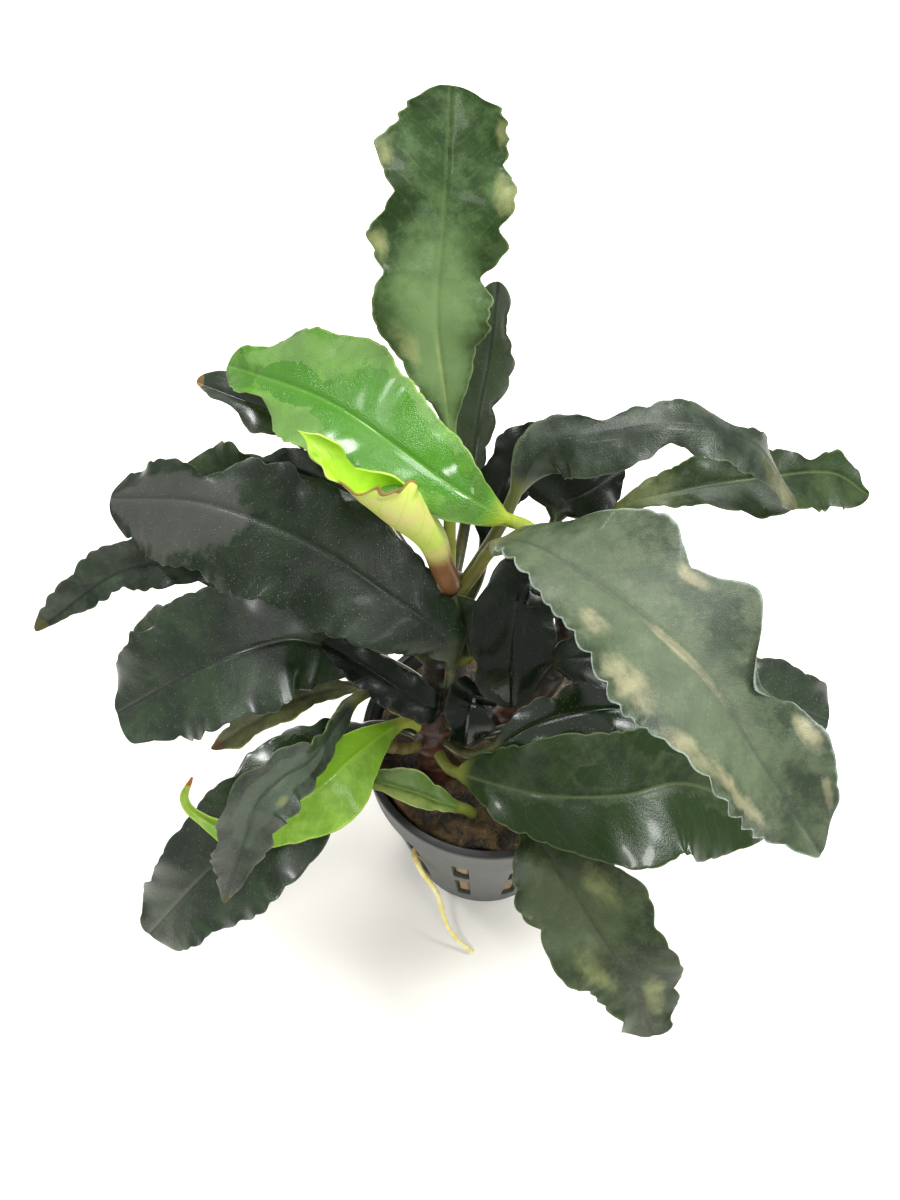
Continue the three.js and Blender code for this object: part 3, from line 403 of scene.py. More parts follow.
class Graph:
    """The node tree of one material, written as expressions."""

    def __init__(self, name):
        self.material = bpy.data.materials.new(name)
        self.material.use_nodes = True
        self.tree = self.material.node_tree
        self.tree.nodes.clear()
        self.object_place = self.node("ShaderNodeTexCoord", output="Object")

    def node(self, kind, settings=None, values=None, output=0):
        """Adds a node, sets its settings, then gives its sockets their values or links."""
        node = self.tree.nodes.new(kind)
        for key, value in (settings or {}).items():
            setattr(node, key, value)
        for key, value in (values or {}).items():
            if isinstance(value, Link):
                self.tree.links.new(value.socket, node.inputs[key])
            else:
                node.inputs[key].default_value = value
        return Link(self, node.outputs[output] if node.outputs else None)

    def math(self, operation, first, second=0.0):
        return self.node("ShaderNodeMath", {"operation": operation}, {0: first, 1: second})

    def mix(self, factor, first, second):
        """One colour laid over another, by a factor from 0 to 1."""
        return self.node("ShaderNodeMix", {"data_type": "RGBA"},
                         {0: factor, 6: first, 7: second}, 2)

    def step(self, value, low, high):
        """Rises smoothly from 0 at low to 1 at high, or falls where high is below low."""
        span = {"From Min": low, "From Max": high, "To Min": 0.0, "To Max": 1.0}
        if low > high:
            span = {"From Min": high, "From Max": low, "To Min": 1.0, "To Max": 0.0}
        return self.node("ShaderNodeMapRange", {"interpolation_type": "SMOOTHSTEP"},
                         {"Value": value, **span})

    def noise(self, size, detail=3.0, roughness=0.55, distortion=0.0):
        """Cloudy noise from 0 to 1 whose lumps are about size millimetres across."""
        return self.node("ShaderNodeTexNoise", None, {
            "Vector": self.object_place, "Scale": 1 / (size * MM), "Detail": detail,
            "Roughness": roughness, "Distortion": distortion})

    def cells(self, size, output="Distance"):
        """Distance to the nearest of many scattered points about size millimetres apart, or
        under the output Color that point's chance colour."""
        return self.node("ShaderNodeTexVoronoi", None, {
            "Vector": self.object_place, "Scale": 1 / (size * MM)}, output)

    def axis(self, vector, index):
        """One of the three numbers of a vector."""
        return self.node("ShaderNodeSeparateXYZ", None, {0: vector}, index)

    def attribute(self, name):
        """The three numbers that a piece's mesh carries under this name."""
        vector = self.node("ShaderNodeAttribute", {"attribute_name": name}, None, "Vector")
        split = self.axis(vector, 0).socket.node
        return [Link(self, output) for output in split.outputs]

    def ripple(self, turns):
        """A count of turns as a zigzag: 0.5 at each whole turn, 0 halfway to the next."""
        return self.math("ABSOLUTE", self.math("FRACT", turns) - 0.5)

    def surface(self, height, depth, values):
        """Ends the material: a Principled surface with a bump of this height and depth in mm."""
        bump = self.node("ShaderNodeBump", None, {"Height": height, "Strength": 1.0,
                                                  "Distance": depth * MM})
        shader = self.node("ShaderNodeBsdfPrincipled", None, {"Normal": bump, **values})
        self.node("ShaderNodeOutputMaterial", None, {"Surface": shader})
        return self.material


# The haze tone is a pale grey for the leaf's frosty surface and painted sheen together.
TONE_NAMES = ("deep", "mid", "frost_and_sheen", "wet", "pale", "rib", "edge", "under", "stalk", "dry")


def shades(*tones, **other):
    """One finish of the leaves: its colours as screen values, in the order of TONE_NAMES.
    hazy is the strength of the pale clouds, veil that of the hazy patches and soft their softness;
    both lay the haze tone on: the leaf's frosty surface and painted sheen together.
    rough is the roughness, slick what wet patches take from it, and grain the height of the grains.
    speck is the paleness of the pale specks, which are painted glints. gloss is the specular level,
    coat the coat of wet patches and sheen the coat everywhere."""
    base = {"veil": 0.4, "soft": 0.09, "slick": 0.6, "grain": 0.26, "speck": 0.15, "midrib": 0.4,
            "gloss": 0.4, "coat": 0.45, "coat_rough": 0.09, "sheen": 0.04}
    colours = {name: linear(*tone) for name, tone in zip(TONE_NAMES, tones)}
    return {**colours, **base, **other}


FINISHES = {
    "green": shades((30, 50, 18), (38, 61, 24), (122, 150, 96), (26, 50, 10), (190, 190, 130),
                    (104, 124, 72), (128, 142, 90), (112, 134, 62), (116, 124, 48), (96, 62, 34),
                    hazy=0.2, rough=0.45, speck=0.12, gloss=0.14, veil=0.66, soft=0.5,
                    midrib=0.12, grain=0.14),
    "moss": shades((20, 34, 11), (32, 50, 18), (74, 88, 56), (22, 42, 6), (150, 158, 104),
                   (84, 98, 56), (92, 108, 62), (112, 128, 60), (108, 116, 46), (96, 62, 34),
                   hazy=0.28, rough=0.4, speck=0.08, gloss=0.26, coat=0.12, slick=0.2),
    "fern": shades((20, 34, 12), (40, 54, 26), (84, 96, 62), (22, 42, 6), (178, 184, 118),
                   (42, 44, 42), (92, 108, 62), (112, 128, 60), (108, 116, 46), (96, 62, 34),
                   hazy=0.35, rough=0.42, speck=0.1, gloss=0.3, soft=0.4),
    "fresh": shades((64, 92, 26), (84, 112, 38), (120, 140, 78), (60, 100, 16), (206, 210, 132),
                    (140, 156, 76), (176, 186, 112), (140, 150, 76), (128, 138, 58), (96, 62, 34),
                    hazy=0.3, rough=0.4, speck=0.08, midrib=0.2),
    "bright": shades((54, 100, 12), (78, 128, 26), (110, 142, 78), (56, 112, 8), (140, 162, 84),
                     (108, 156, 58), (150, 172, 92), (140, 176, 70), (138, 156, 44), (110, 80, 34),
                     hazy=0.3, rough=0.34, coat=0.5, coat_rough=0.14, gloss=0.3, speck=0.1,
                     grain=0.75, midrib=0.25),
    "lime": shades((82, 118, 22), (98, 134, 32), (140, 170, 80), (96, 136, 22), (190, 206, 104),
                   (160, 184, 80), (160, 184, 76), (150, 176, 64), (150, 160, 66), (150, 74, 34),
                   hazy=0.25, rough=0.46, coat=0.06, gloss=0.2, speck=0.06, midrib=0.15),
    "yellow": shades((132, 182, 26), (154, 200, 42), (176, 206, 70), (150, 200, 30),
                     (236, 236, 160), (142, 144, 58), (164, 180, 60), (184, 180, 104),
                     (112, 74, 40), (112, 74, 30), hazy=0.3, rough=0.42),
    "grey": shades((34, 47, 27), (53, 68, 43), (94, 105, 79), (36, 54, 22), (196, 186, 146),
                   (42, 42, 46), (156, 170, 160), (98, 112, 68), (106, 108, 52), (120, 90, 50),
                   hazy=0.45, rough=0.48, speck=0.14, gloss=0.35, soft=0.4),
    "slate": shades((22, 32, 20), (37, 48, 33), (82, 96, 78), (14, 24, 12), (150, 150, 84),
                    (24, 26, 24), (80, 90, 64), (146, 148, 78), (80, 86, 38), (70, 68, 34),
                    hazy=0.26, rough=0.38, grain=0.36, gloss=0.32),
    "dark": shades((13, 26, 11), (24, 40, 20), (72, 72, 68), (8, 20, 5), (90, 106, 62),
                   (40, 44, 38), (42, 54, 28), (52, 66, 30), (40, 50, 22), (120, 92, 44),
                   hazy=0.12, rough=0.36, veil=0.55, gloss=0.3, speck=0.3),
    "gloss": shades((12, 28, 10), (26, 46, 20), (72, 84, 64), (10, 26, 7), (90, 106, 62),
                    (14, 22, 12), (46, 58, 32), (56, 68, 32), (48, 58, 26), (120, 92, 44),
                    hazy=0.16, rough=0.34, gloss=0.32, coat=0.2, coat_rough=0.22, sheen=0.7,
                    speck=0.26, grain=0.4),
    # Dark leaves deep in the heart and at the back, darkened further as painted shade.
    "dark_painted_shade": shades((5, 11, 5), (10, 20, 8), (40, 46, 38), (4, 12, 3), (90, 106, 62), (6, 10, 6),
                    (28, 40, 20), (20, 30, 12), (34, 42, 18), (120, 92, 44), hazy=0.06,
                    rough=0.34, coat=0.3, gloss=0.22, speck=0.08),
    "olive": shades((58, 64, 30), (80, 84, 42), (112, 112, 70), (50, 56, 22), (160, 152, 84),
                    (52, 54, 28), (176, 172, 100), (76, 84, 46), (96, 92, 42), (80, 52, 26),
                    hazy=0.4, rough=0.5),
}


def leaf_material(name):
    """A leaf's surface. Cloudy greens under a thin haze, which is the leaf's frosty surface and
    painted sheen together, side veins and a midrib, a pale margin, wet patches that are darker and
    smoother, grains in the bump that catch the light, and pale specks that are painted glints."""
    graph = Graph("skin_" + name)
    tone = FINISHES[name]
    along, across, hazy = graph.attribute("leaf_place")
    rim, upper, grown = graph.attribute("leaf_state")
    wet, pale, dry = graph.attribute("leaf_marks")

    cloud = graph.noise(8, 5, 0.65, 0.8)
    fine = graph.noise(0.9, 3, 0.6)
    grain = graph.cells(0.25)
    ragged = (graph.noise(4.5, 5, 0.62) - 0.5) * 0.9
    wet_mask = graph.step(wet + ragged, 0.48, 0.52) * upper
    frosty_sheen_edge = (0.51 - tone["soft"], 0.51 + tone["soft"])
    hazy_mask = graph.step(hazy + ragged * 0.9, *frosty_sheen_edge) * (1 - wet_mask) * upper
    pale_mask = graph.step(pale + ragged * 1.5, 0.42, 1.2) * upper
    dry_mask = graph.step(dry + ragged * 0.6, 0.42, 0.62)

    distance = graph.math("ABSOLUTE", across)
    slant = (along - distance * 0.8) / VEIN_SPACING + (graph.noise(9, 2) - 0.5) * 1.6
    veins = graph.step(graph.ripple(slant), 0.09, 0.0) * graph.step(distance, 0.5, 1.6)
    midrib = graph.step(distance + (fine - 0.5) * 0.3, 0.42, 0.12) * grown
    margin = graph.step(rim + (fine - 0.5) * 0.5, 0.42, 0.05) * grown

    base = graph.mix(graph.step(cloud, 0.4, 0.62), tone["deep"], tone["mid"])
    # Pale clouds and hazy patches towards the haze tone: the leaf's frosty surface and painted
    # sheen.
    pale_clouds = graph.step(graph.noise(5, 6, 0.7), 0.42, 0.66) * (1 - wet_mask) * tone["hazy"]
    # Pale specks painted into the colour at scattered points: painted glints.
    chance = graph.axis(graph.cells(0.5, "Color"), 0)
    speck = graph.step(graph.cells(0.5), 0.2, 0.08) * graph.step(chance, 0.25, 0.95) * grown
    layers = ((pale_clouds, "frost_and_sheen"), (hazy_mask * tone["veil"], "frost_and_sheen"), (wet_mask * 0.85, "wet"),
              (veins * 0.07, "rib"), (pale_mask * 0.34, "pale"), (midrib * tone["midrib"], "rib"),
              (margin * 0.5, "edge"))
    for strength, colour in layers:
        base = graph.mix(strength, base, tone[colour])
    base = graph.mix(speck * tone["speck"], base, linear(200, 202, 184))
    under = graph.mix(graph.step(cloud, 0.4, 0.65) * 0.5, tone["under"], tone["mid"])
    under = graph.mix(veins * 0.25, under, tone["rib"])
    under = graph.mix(midrib * 0.5, under, tone["edge"])
    base = graph.mix(upper, under, base)
    stalk = graph.mix(graph.step(cloud, 0.5, 0.7) * 0.5, tone["stalk"], tone["dry"])
    base = graph.mix(grown, stalk, base)
    base = graph.mix(dry_mask * 0.9, base, tone["dry"])

    roughness = (tone["rough"] + (fine - 0.5) * 0.2 + hazy_mask * 0.12) * (
        1 - wet_mask * tone["slick"])
    lumps = (0.5 - grain) * tone["grain"] * (1 - wet_mask * 0.3) + fine * 0.26
    height = lumps + graph.noise(2.4, 3) * 0.5 - veins * 0.1 * upper * (1 - wet_mask)
    return graph.surface(height, 0.1, {
        "Base Color": base, "Roughness": roughness + dry_mask * 0.2,
        "Coat Weight": wet_mask * tone["coat"] + tone["sheen"],
        "Coat Roughness": tone["coat_rough"], "Specular IOR Level": tone["gloss"]})


def stem_material():
    """Red-brown rind with rings of paler scars and dark specks."""
    graph = Graph("stem_rind")
    along, _, _ = graph.attribute("tube_place")
    cloud = graph.noise(3.5, 4, 0.6)
    scars = graph.step(graph.ripple(along / SCAR_SPACING), 0.12, 0.02)
    base = graph.mix(graph.step(cloud, 0.35, 0.7), linear(40, 20, 13), linear(84, 46, 30))
    base = graph.mix(scars * 0.5, base, linear(92, 64, 40))
    base = graph.mix(graph.step(graph.noise(0.9, 2), 0.55, 0.68) * 0.7, base, linear(30, 18, 12))
    height = graph.axis(graph.object_place, 2) / MM
    base = graph.mix(graph.step(height, 62, 72) * 0.8, base, linear(30, 30, 18))
    return graph.surface(cloud + graph.noise(0.7, 3) * 0.5, 0.3, {
        "Base Color": base, "Roughness": 0.48 + (cloud - 0.5) * 0.3, "Coat Weight": 0.08,
        "Coat Roughness": 0.2})


def root_material():
    """Pale yellow root, browned where it leaves the pot."""
    graph = Graph("root_skin")
    along, _, _ = graph.attribute("tube_place")
    cloud = graph.noise(2.0, 3)
    base = graph.mix(graph.step(cloud, 0.4, 0.7), linear(232, 216, 120), linear(240, 232, 170))
    brown = graph.step(along + (cloud - 0.5) * 5, 9.0, 3.0)
    base = graph.mix(brown * 0.85, base, linear(126, 84, 40))
    return graph.surface(cloud, 0.1, {"Base Color": base, "Roughness": 0.42 + brown * 0.2})


def stub_material():
    """A dried stalk: olive, mottled with brown, brown at its cut end."""
    graph = Graph("dried_stalk")
    along, _, _ = graph.attribute("tube_place")
    cloud = graph.noise(2.2, 4, 0.65)
    base = graph.mix(graph.step(cloud, 0.4, 0.65), linear(104, 98, 44), linear(78, 56, 30))
    end = graph.step(along + (cloud - 0.5) * 6, 10.0, 14.0)
    base = graph.mix(end * 0.8, base, linear(130, 104, 66))
    return graph.surface(cloud, 0.3, {"Base Color": base, "Roughness": 0.5 + end * 0.2})


def wool_material():
    """Brown rock wool, mottled black and tan."""
    graph = Graph("rock_wool")
    shade, _, _ = graph.attribute("wool_place")
    cloud = graph.noise(6, 5, 0.65, 0.5)
    base = graph.mix(graph.step(cloud, 0.42, 0.6), linear(32, 25, 15), linear(98, 76, 42))
    base = graph.mix(graph.step(graph.noise(2.6, 4), 0.52, 0.7) * 0.5, base, linear(124, 94, 56))
    base = graph.mix(shade, base, linear(158, 130, 80))
    return graph.surface(graph.noise(0.5, 4) + cloud, 0.5, {
        "Base Color": base, "Roughness": 0.6 + (cloud - 0.5) * 0.4, "Coat Weight": 0.1,
        "Coat Roughness": 0.2})


def pot_material(tone):
    """Thin moulded plastic: nearly one grey, with a faint bloom, a fine mould grain and a darker
    lip."""
    graph = Graph("pot_plastic")
    pale_clouds = graph.noise(7, 4, 0.6)
    lighter = tuple(min(1.0, value * 1.8 + 0.03) for value in tone[:3]) + (1.0,)
    base = graph.mix(graph.step(pale_clouds, 0.4, 0.75) * 0.35, tuple(tone), lighter)
    height = graph.axis(graph.object_place, 2) / MM + (pale_clouds - 0.5) * 0.8
    lip = graph.step(height, POT_HEIGHT - 1.2, POT_HEIGHT - 0.9)
    base = graph.mix(lip, base, linear(14, 16, 16))
    return graph.surface(graph.noise(0.6, 2) + pale_clouds * 0.6, 0.06, {
        "Base Color": base, "Roughness": 0.5 + (pale_clouds - 0.5) * 0.3})


def floor_material(tone):
    """Matt white card with the faintest cloudiness."""
    graph = Graph("floor_card")
    base = graph.mix(graph.noise(60, 2) * 0.2, tuple(tone), linear(250, 249, 246))
    return graph.surface(graph.noise(2, 2), 0.02, {"Base Color": base, "Roughness": 0.7})


def unit(vectors):
    """Vectors brought to length 1."""
    return vectors / np.linalg.norm(vectors, axis=-1, keepdims=True)


def smooth(value):
    """The smooth step 3s^2 - 2s^3 of a value held between 0 and 1."""
    s = np.clip(value, 0, 1)
    return s * s * (3 - 2 * s)


def beside(*values):
    """Arrays of one grid, or that stretch to it, laid side by side as the last axis."""
    return np.stack(np.broadcast_arrays(*values), -1)


def polar(radius, angle, height):
    """Points at a radius and an angle round the pot's axis, at a height."""
    return beside(radius * np.cos(angle), radius * np.sin(angle), height)


def between(places, knots, table):
    """The rows of a table at places between its knots, along straight lines."""
    return np.stack([np.interp(places, knots, column) for column in table.T], 1)


def cubic(a, b, c, d, u):
    """The Catmull-Rom curve from b to c, with a before and d after them, at the shares u: half of
    2b + (c - a)u + (2a - 5b + 4c - d)u^2 + (3b - a - 3c + d)u^3."""
    return 0.5 * (2 * b + (c - a) * u + (2 * a - 5 * b + 4 * c - d) * u ** 2
                  + (3 * b - a - 3 * c + d) * u ** 3)


def smooth_path(points, places):
    """Points and directions of the Catmull-Rom curve through some points, at shares of its length,
    and that length."""
    knots = np.asarray(points, float)
    knots = np.vstack([2 * knots[0] - knots[1], knots, 2 * knots[-1] - knots[-2]])
    u = np.linspace(0, 1, CURVE_STEPS, endpoint=False)[None, :, None]
    curve = cubic(*(knots[i:len(knots) - 3 + i, None, :] for i in range(4)), u)
    curve = np.vstack([curve.reshape(-1, 3), knots[-2]])
    steps = np.linalg.norm(np.diff(curve, axis=0), axis=1)
    travelled = np.concatenate([[0], np.cumsum(steps)])
    slope = np.gradient(curve, travelled, axis=0)
    wanted = np.asarray(places) * travelled[-1]
    centre = between(wanted, travelled, curve)
    return centre, unit(between(wanted, travelled, slope)), travelled[-1]


def rings_round(centre, side, lift, x, z):
    """Rings of points: each row's centre + x side + z lift."""
    return centre[:, None] + side[:, None] * x[..., None] + lift[:, None] * z[..., None]


def half_width(share, stations):
    """A half width at each share of the blade, run smoothly through its five stations.
    The stations stand at even steps of acos(1 - 2 share), so both ends are round."""
    values = np.array([-stations[0], 0, *stations, 0, -stations[4]], float)
    place = np.arccos(np.clip(1 - 2 * share, -1, 1)) / np.pi * 6
    cell = np.minimum(5, np.floor(place)).astype(int)
    curve = cubic(*(values[cell + i] for i in range(4)), place - cell)
    return np.maximum(LEAST_HALF_WIDTH, curve)


def patch_field(patches, share, across):
    """How far each point lies inside the nearest patch: 1 at a patch's middle, 0.5 on its edge."""
    field = np.zeros(np.broadcast(share, across).shape)
    for place, side, size_along, size_across in patches:
        radius = ((share - place) / size_along) ** 2 + ((across - side) / size_across) ** 2
        field = np.maximum(field, 1 - 0.5 * radius)
    return field


def leaf_grid(shape, row_step):
    """The leaf as rings of points, one ring a row, the points at its two ends, and what its
    material reads at each point.

    A ring is a flat ellipse. Its half width is the station curve, swollen by 5% in step with the
    waves and cut by round scallops |sin|, and a single swell adds height * exp(-x^2). Each half
    is bent by its curl into an arc and turned by its fold, and rises by wave height * reach^2.2 *
    cos. A groove exp(-x^2) runs down the middle of the upper face with a ridge below it, and the
    side veins quilt the blade slightly.
    """
    seed = sum(shape["route"][-1])
    stalk = shape["stalk"]
    _, _, length = smooth_path(shape["route"], [0])
    blade_length = length - stalk
    stalk_rows = max(LEAST_STALK_ROWS, int(stalk / STALK_ROW_STEP))
    rows = int(blade_length / row_step)
    u = (np.arange(rows) + 0.3) / rows
    share = 0.6 * u + 0.2 * (1 - np.cos(np.pi * u))
    stalk_places = stalk / length * np.arange(stalk_rows) / stalk_rows
    places = np.concatenate([stalk_places, (stalk + share * blade_length) / length])
    share = np.concatenate([np.zeros(stalk_rows), share])[:, None]
    centre, along, _ = smooth_path(shape["route"], places)

    faces = unit(np.array(shape["face"], float))
    face = between(share[:, 0] * (len(faces) - 1), np.arange(len(faces)), faces)
    side = unit(np.cross(along, face))
    up = np.cross(side, along)

    reaches = np.array(REACHES)
    half = np.concatenate([[-1], -reaches[::-1], reaches[1:]])
    across = np.concatenate([half, [1], -half[1:]])[None, :]
    top = np.concatenate([np.ones(len(half) + 1), -np.ones(len(half) - 1)])[None, :]
    sine = top * np.sqrt(np.clip(1 - across ** 2, 0, 1))
    reach = np.abs(across)
    hand = (across >= 0).astype(int)
    on_blade = share > 0
    grown = smooth(share / 0.12)
    thin = smooth(share / 0.3)

    def by_hand(pair):
        """The first of a pair on the left half of the leaf, and the second on the right half."""
        return np.where(hand == 0, pair[0], pair[1])

    cycle = 2 * np.pi * (shape["wave"][0] * share + by_hand(shape["phase"]))
    blade = by_hand([half_width(share, shape[key]) for key in ("left", "right")])
    blade = on_blade * blade * (1 + 0.05 * np.sin(cycle))
    travel = share * blade_length
    depth, spacing = shape["frill"]
    wander = 0.9 * np.sin(travel / 5.3 + seed + 2 * hand) + 0.6 * np.sin(travel / 2.9 - seed)
    beat = np.pi * travel / spacing + wander + 1.3 * hand
    varied = 0.75 + 0.35 * np.sin(travel / 3.7 + 2.3 * seed + 4 * hand)
    varied = varied * by_hand(shape["uneven"][::-1])
    bulge, stretch = shape["lobe"]
    bulge = bulge * by_hand(shape["uneven"])
    swell = np.pi * travel / stretch + 0.8 * np.sin(travel / 6.1 + seed) + 1.7 * seed + 2.4 * hand
    round_lobe = 1.7 * (np.abs(np.sin(swell)) ** 0.75 - 0.62)
    ends = smooth(share / 0.15) * smooth((1 - share) / 0.1) * np.minimum(1, blade / 4)
    scallop = varied * (np.abs(np.sin(beat)) ** 0.8 - 0.6)
    single = sum(height * np.exp(-((share - place) / size) ** 2) * (across * way > 0)
                 for place, way, height, size in shape["swells"])
    extra = ends * (1.25 * depth * scallop + bulge * round_lobe) + single * on_blade
    blade = blade + extra * reach ** 2

    radius = shape["stalk_radius"]
    width = np.hypot(blade, np.where(share > 0.9, 0, radius * (1 - thin)))
    curl = by_hand(shape["curl"]) * DEGREE * grown
    fold = by_hand(shape["fold"]) * DEGREE * grown
    bent = np.where(np.abs(curl) > 1e-3, curl, 1e-3)
    flat = np.sin(bent * reach) / bent
    rise = (1 - np.cos(bent * reach)) / bent
    ruffle = shape["wave"][1] * np.minimum(1, blade / 4) * reach ** 2.2 * np.cos(cycle)
    crisp = 0.36 * depth * varied * reach ** 8 * np.sin(2 * beat + 0.8)
    crisp = ends * (crisp + 0.6 * bulge * reach ** 4 * np.sin(2 * swell + 0.6 * hand))
    out = width * reach
    uneven = 1.5 * np.sin(travel / 7 + out / 3)
    quilt = np.sin(2 * np.pi * (travel - 0.75 * out) / QUILT_SPACING + uneven)
    quilt = 0.035 * quilt * ends * np.sin(np.pi * reach)
    x = width * (flat * np.cos(fold) - rise * np.sin(fold))
    z = width * (flat * np.sin(fold) + rise * np.cos(fold)) + ruffle + crisp + quilt

    ridge = RIDGE_HEIGHT * (np.exp(-(out / RIDGE_WIDTH) ** 2) * (1.1 - share))
    groove = GROOVE_DEPTH * np.exp(-(out / GROOVE_WIDTH) ** 2)
    skin = (BLADE_HALF_THICKNESS + BASE_THICKENING * (1 - share)) * np.sqrt(np.abs(sine)) * top
    skin = skin - np.where(top > 0, groove, ridge)
    lift = radius * sine * (1 - thin) + skin * thin
    rings = rings_round(centre, side, up, np.sign(across) * x, z + lift)
    tip, _, _ = smooth_path(shape["route"], [1])

    wet, pale, dry, hazy = (patch_field(shape[key], share, across) * on_blade
                            for key in ("wet", "pale", "dry", "hazy"))
    return rings, rings[0].mean(axis=0), tip[0], {
        "leaf_place": beside(travel, np.sign(across) * out, hazy),
        "leaf_state": beside((1 - reach) * width, top > 0, smooth(share / 0.07)),
        "leaf_marks": beside(wet, pale, dry)}


def scroll_grid(shape):
    """The youngest leaf, rolled into a scroll, as rings of points.

    At each share s of its route the sheet is wound round the route from one angle to another, at
    a radius that grows by a tenth each turn. Angle 0 is the far side. Towards the tip the near side
    ends first, on a slanting crumpled edge, and the far side runs on to the tip as a narrow flap.
    """
    rows, steps = SCROLL_MESH
    share = np.linspace(0, 1, rows)
    centre, along, length = smooth_path(shape["route"], share)
    far = np.array([-0.08, 0.66, -0.745])
    away = unit(far - along * (along @ far)[:, None])
    side = np.cross(along, away)
    s = share[:, None]
    turn = np.linspace(0, 1, steps)[None, :]
    first = np.interp(s, [0, 0.5, 0.66, 0.72, 0.77, 0.82, 0.88, 0.95, 1],
                      [-80, -80, -62, -22, -4, -14, -50, -60, -20])
    last = np.interp(s, [0, 0.52, 0.6, 0.66, 0.72, 0.8, 0.88, 0.94, 1],
                     [330, 320, 278, 228, 184, 128, 92, 62, 20])
    opening = smooth((s - 0.5) / 0.1)
    ragged = opening * (9 * np.sin(s * 61) + 6 * np.sin(s * 127 + 1))
    angle = (first + (last + ragged - first) * turn) * DEGREE
    radius = np.interp(s, [0, 0.2, 0.3, 0.45, 0.6, 0.72, 0.87, 0.95, 1],
                       [2, 1.95, 2.1, 2.6, 3.3, 3.4, 2.5, 1.6, 0.4])
    radius = radius * (1 + 0.1 * angle / np.pi / 2 + 0.02 * np.sin(9 * s + 3 * angle))
    lip = smooth((turn - 0.84) / 0.16) * smooth((s - 0.5) / 0.12) * (1 - smooth((s - 0.9) / 0.1))
    radius = radius + lip * (0.5 + 0.4 * np.sin(s * 83))

    def there_and_back(outer, inner):
        """Values on the outer face in order, then on the inner face in the opposite order."""
        return np.concatenate([outer, inner[:, ::-1]], 1)

    bend = there_and_back(angle, angle)
    spread = there_and_back(radius, radius - (0.42 - 0.1 * s))
    both = there_and_back(turn, turn)
    rings = rings_round(centre, away, side, spread * np.cos(bend), spread * np.sin(bend))
    to_margin = (last - first) * DEGREE * spread
    brown = smooth(1.25 - (1 - both) * to_margin / 1.1) * opening
    brown = brown * (1 - 0.5 * smooth((s - 0.78) / 0.08))
    upper = there_and_back(0 * angle, 1 + 0 * angle)
    return rings, rings[0].mean(axis=0), centre[-1] + along[-1] * 0.3, {
        "leaf_place": beside(s * length, (both - 0.42) * 14, 0 * spread),
        "leaf_state": beside(np.minimum(both, 1 - both) * to_margin + 1, upper,
                             smooth((s - 0.24) / 0.12)),
        "leaf_marks": beside(0, 0, brown * 0.72)}


def add_object(name, data):
    """A new object at the origin, linked to the scene."""
    thing = bpy.data.objects.new(name, data)
    bpy.context.scene.collection.objects.link(thing)
    return thing


def new_mesh(name, points, *faces):
    """A mesh from points in millimetres and one or more lists of faces."""
    mesh = bpy.data.meshes.new(name)
    mesh.from_pydata((points * MM).tolist(), [], [face for part in faces for face in part.tolist()])
    return mesh


def shade_smooth(mesh):
    mesh.polygons.foreach_set("use_smooth", np.ones(len(mesh.polygons), bool))


def store(mesh, key, values):
    """Gives each point of a mesh three numbers for its material to read."""
    layer = mesh.attributes.new(key, "FLOAT_VECTOR", "POINT")
    layer.data.foreach_set("vector", values.astype(np.float32).ravel())


def closed_skin(name, rings, start, end, attributes):
    """A closed mesh over rings of points: quads between neighbours, a fan at each end.
    The sign of the volume it holds tells whether the faces have to be turned round."""
    rows, sides = rings.shape[:2]
    points = np.vstack([rings.reshape(-1, 3), start, end])
    r, k = np.meshgrid(np.arange(rows - 1), np.arange(sides), indexing="ij")
    first = r * sides + k
    second = r * sides + (k + 1) % sides
    quads = beside(first, second, second + sides, first + sides).reshape(-1, 4)
    turn = np.arange(sides)
    following = (turn + 1) % sides
    last = (rows - 1) * sides
    caps = np.vstack([beside(following, turn, rows * sides),
                      beside(last + turn, last + following, rows * sides + 1)])
    triangles = np.vstack([quads[:, [0, 1, 2]], quads[:, [0, 2, 3]], caps])
    a, b, c = (points[triangles[:, i]] for i in range(3))
    if np.einsum("ij,ij->", a, np.cross(b, c)) < 0:
        quads, caps = quads[:, ::-1], caps[:, ::-1]
    mesh = new_mesh(name, points, quads, caps)
    shade_smooth(mesh)
    for key, values in attributes.items():
        store(mesh, key, np.vstack([values.reshape(-1, 3), values[0, 0], values[-1, 0]]))
    return add_object(name, mesh)


def tube_grid(points, radii, size, relief):
    """A tube carried along a curve, as rings of points, its two ends and what its material reads.
    Its radius runs from the first to the last of radii, times 1 + relief(millimetres along,
    angle)."""
    rows, sides = size
    places = np.linspace(0, 1, rows)
    centre, along, length = smooth_path(points, places)
    side = unit(np.cross(along, [0.3, 0.9, 0.2]))
    angle = np.linspace(0, 2 * np.pi, sides, endpoint=False)[None, :]
    travel = places[:, None] * length
    radius = (radii[0] + (radii[1] - radii[0]) * places[:, None]) * (1 + relief(travel, angle))
    rings = rings_round(centre, side, np.cross(side, along), radius * np.cos(angle),
                        radius * np.sin(angle))
    end = centre[-1] + along[-1] * radii[1] * 0.6
    return rings, centre[0], end, {"tube_place": beside(travel, angle, radius)}


def knobbly(travel, angle):
    """Relief of the stem: raised scars at even steps, low lumps between them and a thick joint."""
    scar = np.exp(-((travel % SCAR_SPACING - SCAR_SPACING / 2) / 0.45) ** 2)
    lumps = np.sin(3 * angle + 0.9 * travel) * np.sin(1.3 * travel) * 0.05
    joint = np.exp(-((travel - 18) / 3) ** 2) * (0.16 + 0.1 * np.sin(2 * angle + travel))
    return 0.07 * scar + lumps + joint + 0.04 * np.sin(2 * angle - 0.5 * travel)


